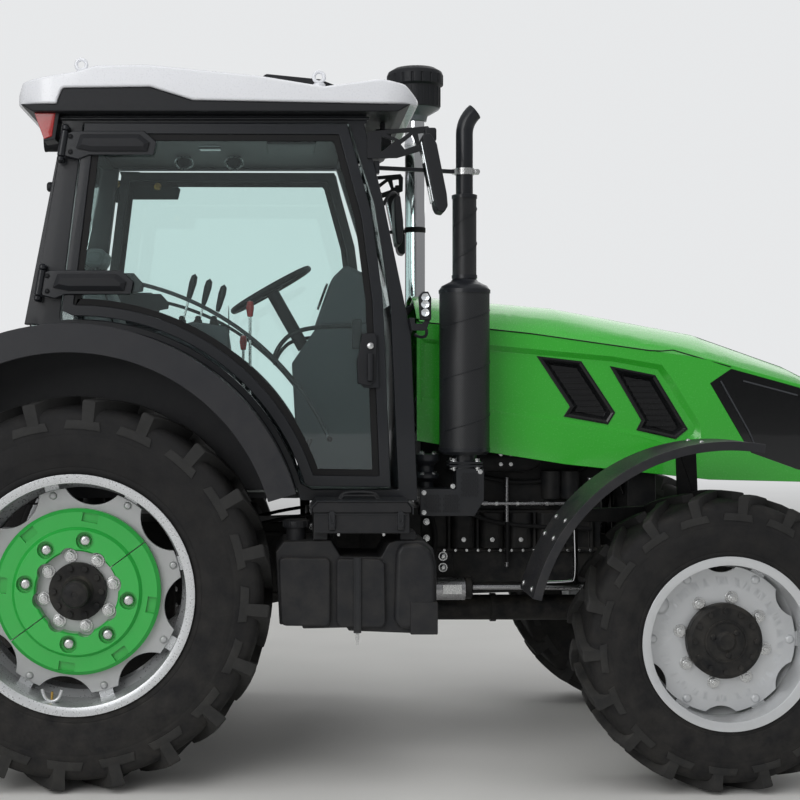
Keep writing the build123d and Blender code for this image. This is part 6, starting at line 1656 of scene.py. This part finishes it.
class TRACTOR_OT_linkage(Operator):
    """Add pin heads and rings, couplers with dust caps, the trailer socket, the blank plate, the drawbar pin and hoses
    at the back
    """
    bl_idname = "tractor.linkage"
    bl_label = "Linkage and rear fittings"

    def execute(self, context):
        # pins' heads and rings on the linkage
        heads = {"lift_arms": [], "lower_links": [], "top_link": [], "lift_rods": []}
        for side in (-1, 1):
            heads["lift_arms"].append(spun([(side * 336, 0), (side * 336, 26), (side * 340, 22), (side * 341, 0)],
                at(-150, 0, 990), steps=24))
            heads["lift_rods"].append(spun([(0, 0), (0, 24), (12, 27), (130, 27), (142, 24), (142, 0)],
                at(-450, side * 368, 540), "Z", 6))
            heads["lower_links"].append(spun([(side * 396, 14.6), (side * 396, 24), (side * 406, 30), (side * 419, 30),
                (side * 429, 24), (side * 429, 14.6)], at(-900, 0, 240), steps=32, closed=True))
        for k in (-1, 1):
            heads["top_link"].append(spun([(-520 + 200 * k, 17), (-520 + 200 * k, 30), (-496 + 200 * k, 30),
                (-496 + 200 * k, 17)], at(0, 0, 900), "X", 6, closed=True))
        handle = pipe([(-560, -20, 900), (-560, -60, 900), (-560, -64, 930), (-470, -64, 930), (-460, -60, 900),
            (-460, -20, 900)], 6)
        heads["top_link"].append(handle)
        for body, pieces in heads.items():
            fit(body + "_fittings", "steel_bar", *pieces, body=body)
        # row of hydraulic couplers with dust caps and the seven-pin socket
        couplers, caps, colours = [], [], ("grip_red", "smoked_lens", "grip_red", "smoked_lens")
        bank = block((-236, -170, 1038), (-120, 170, 1130), 6)
        for k, y in enumerate((-132, -44, 44, 132)):
            couplers.append(spun([(-236, 0), (-236, 26), (-262, 26), (-266, 22), (-300, 22), (-300, 0)], at(0, y, 1090),
                "X", 28))
            cap = spun([(-300, 0), (-300, 25), (-316, 25), (-322, 20), (-322, 0)], at(0, y, 1090), "X", 28)
            caps.append(fit("dust_cap", colours[k], cap))
            cap.name = f"dust_cap_{k + 1}"
        fit("hydraulic_couplers", "steel_bar", bank, *couplers)
        socket = spun([(-350, 0), (-350, 34), (-376, 34), (-380, 30), (-380, 0)], at(0, 400, 1180), "X", 28)
        foot = block((-354, 366, 1140), (-340, 434, 1232), 3)
        fit("trailer_socket", "moulded_black", socket, foot)
        # blank number plate and its frame
        blank = block((-372, -500, 1236), (-366, -280, 1300), 2)
        rim = plate([(-508, 1230), (-508, 1306), (-272, 1306), (-272, 1230)], -366, -358, 2, axis="X")
        fit("number_plate", "roof_paint", blank)
        fit("number_frame", "moulded_black", rim)
        # pin of the drawbar with its handle, and the guard's bolts
        clip = rod((-385, 0, 404), (-385, 0, 480), 13)
        loop = pipe([(-385, -26, 480), (-385, -26, 504), (-385, 26, 504), (-385, 26, 480)], 5)
        head = spun([(472, 0), (472, 28), (482, 28), (482, 0)], at(-385, 0, 0), "Z", 24)
        guard = bolts([(-260, y, 812) for y in (-90, 90)], 16, 8, (0, 0, 1))
        fit("drawbar_pin", "zinc", clip, loop, head, guard)
        # hoses and lines from the valve bank to the castings
        hoses = [pipe([(-128, y, 1056), (-110, y * 1.1, 1010), (-60, y * 1.2, 980), (40, y, 1000)], 11)
            for y in (-120, -40, 40, 120)]
        fit("rear_hoses", "seal_black", *hoses)
        return {"FINISHED"}


# ---- panel and order of work
OPERATORS = (TRACTOR_OT_stage, TRACTOR_OT_eased, TRACTOR_OT_tyres, TRACTOR_OT_rear_wheels, TRACTOR_OT_front_wheels,
    TRACTOR_OT_cab_fittings, TRACTOR_OT_cab_inside, TRACTOR_OT_seat, TRACTOR_OT_hood, TRACTOR_OT_exhaust,
    TRACTOR_OT_mirrors_lamps, TRACTOR_OT_side_boxes, TRACTOR_OT_fender_trim, TRACTOR_OT_engine_bay, TRACTOR_OT_chassis,
    TRACTOR_OT_linkage)


class TRACTOR_PT_panel(Panel):
    """Lists the tractor's pieces in the sidebar"""
    bl_idname = "TRACTOR_PT_panel"
    bl_label = "Farm Tractor"
    bl_space_type = "VIEW_3D"
    bl_region_type = "UI"
    bl_category = "Tractor"

    def draw(self, context):
        for step in OPERATORS:
            self.layout.operator(step.bl_idname)
        for name in ("body", "weights", "roof"):
            self.layout.prop(context.scene.tractor_colours, name)
        for name in ("lug_round", "floor", "lens"):
            self.layout.prop(context.scene.tractor_sizes, name)


CLASSES = (TractorColours, TractorSizes, *OPERATORS, TRACTOR_PT_panel)


def register():
    """Add the settings, the operators and the panel."""
    for part in CLASSES:
        bpy.utils.register_class(part)
    bpy.types.Scene.tractor_colours = PointerProperty(type=TractorColours)
    bpy.types.Scene.tractor_sizes = PointerProperty(type=TractorSizes)


def unregister():
    """Take them away again."""
    del bpy.types.Scene.tractor_sizes
    del bpy.types.Scene.tractor_colours
    for part in reversed(CLASSES):
        bpy.utils.unregister_class(part)


def main():
    """Build the tractor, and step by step."""
    register()
    make_finishes(bpy.context.scene.tractor_colours)
    for step in OPERATORS:
        group, name = step.bl_idname.split(".")
        getattr(getattr(bpy.ops, group), name)()


if __name__ == "__main__":
    main()
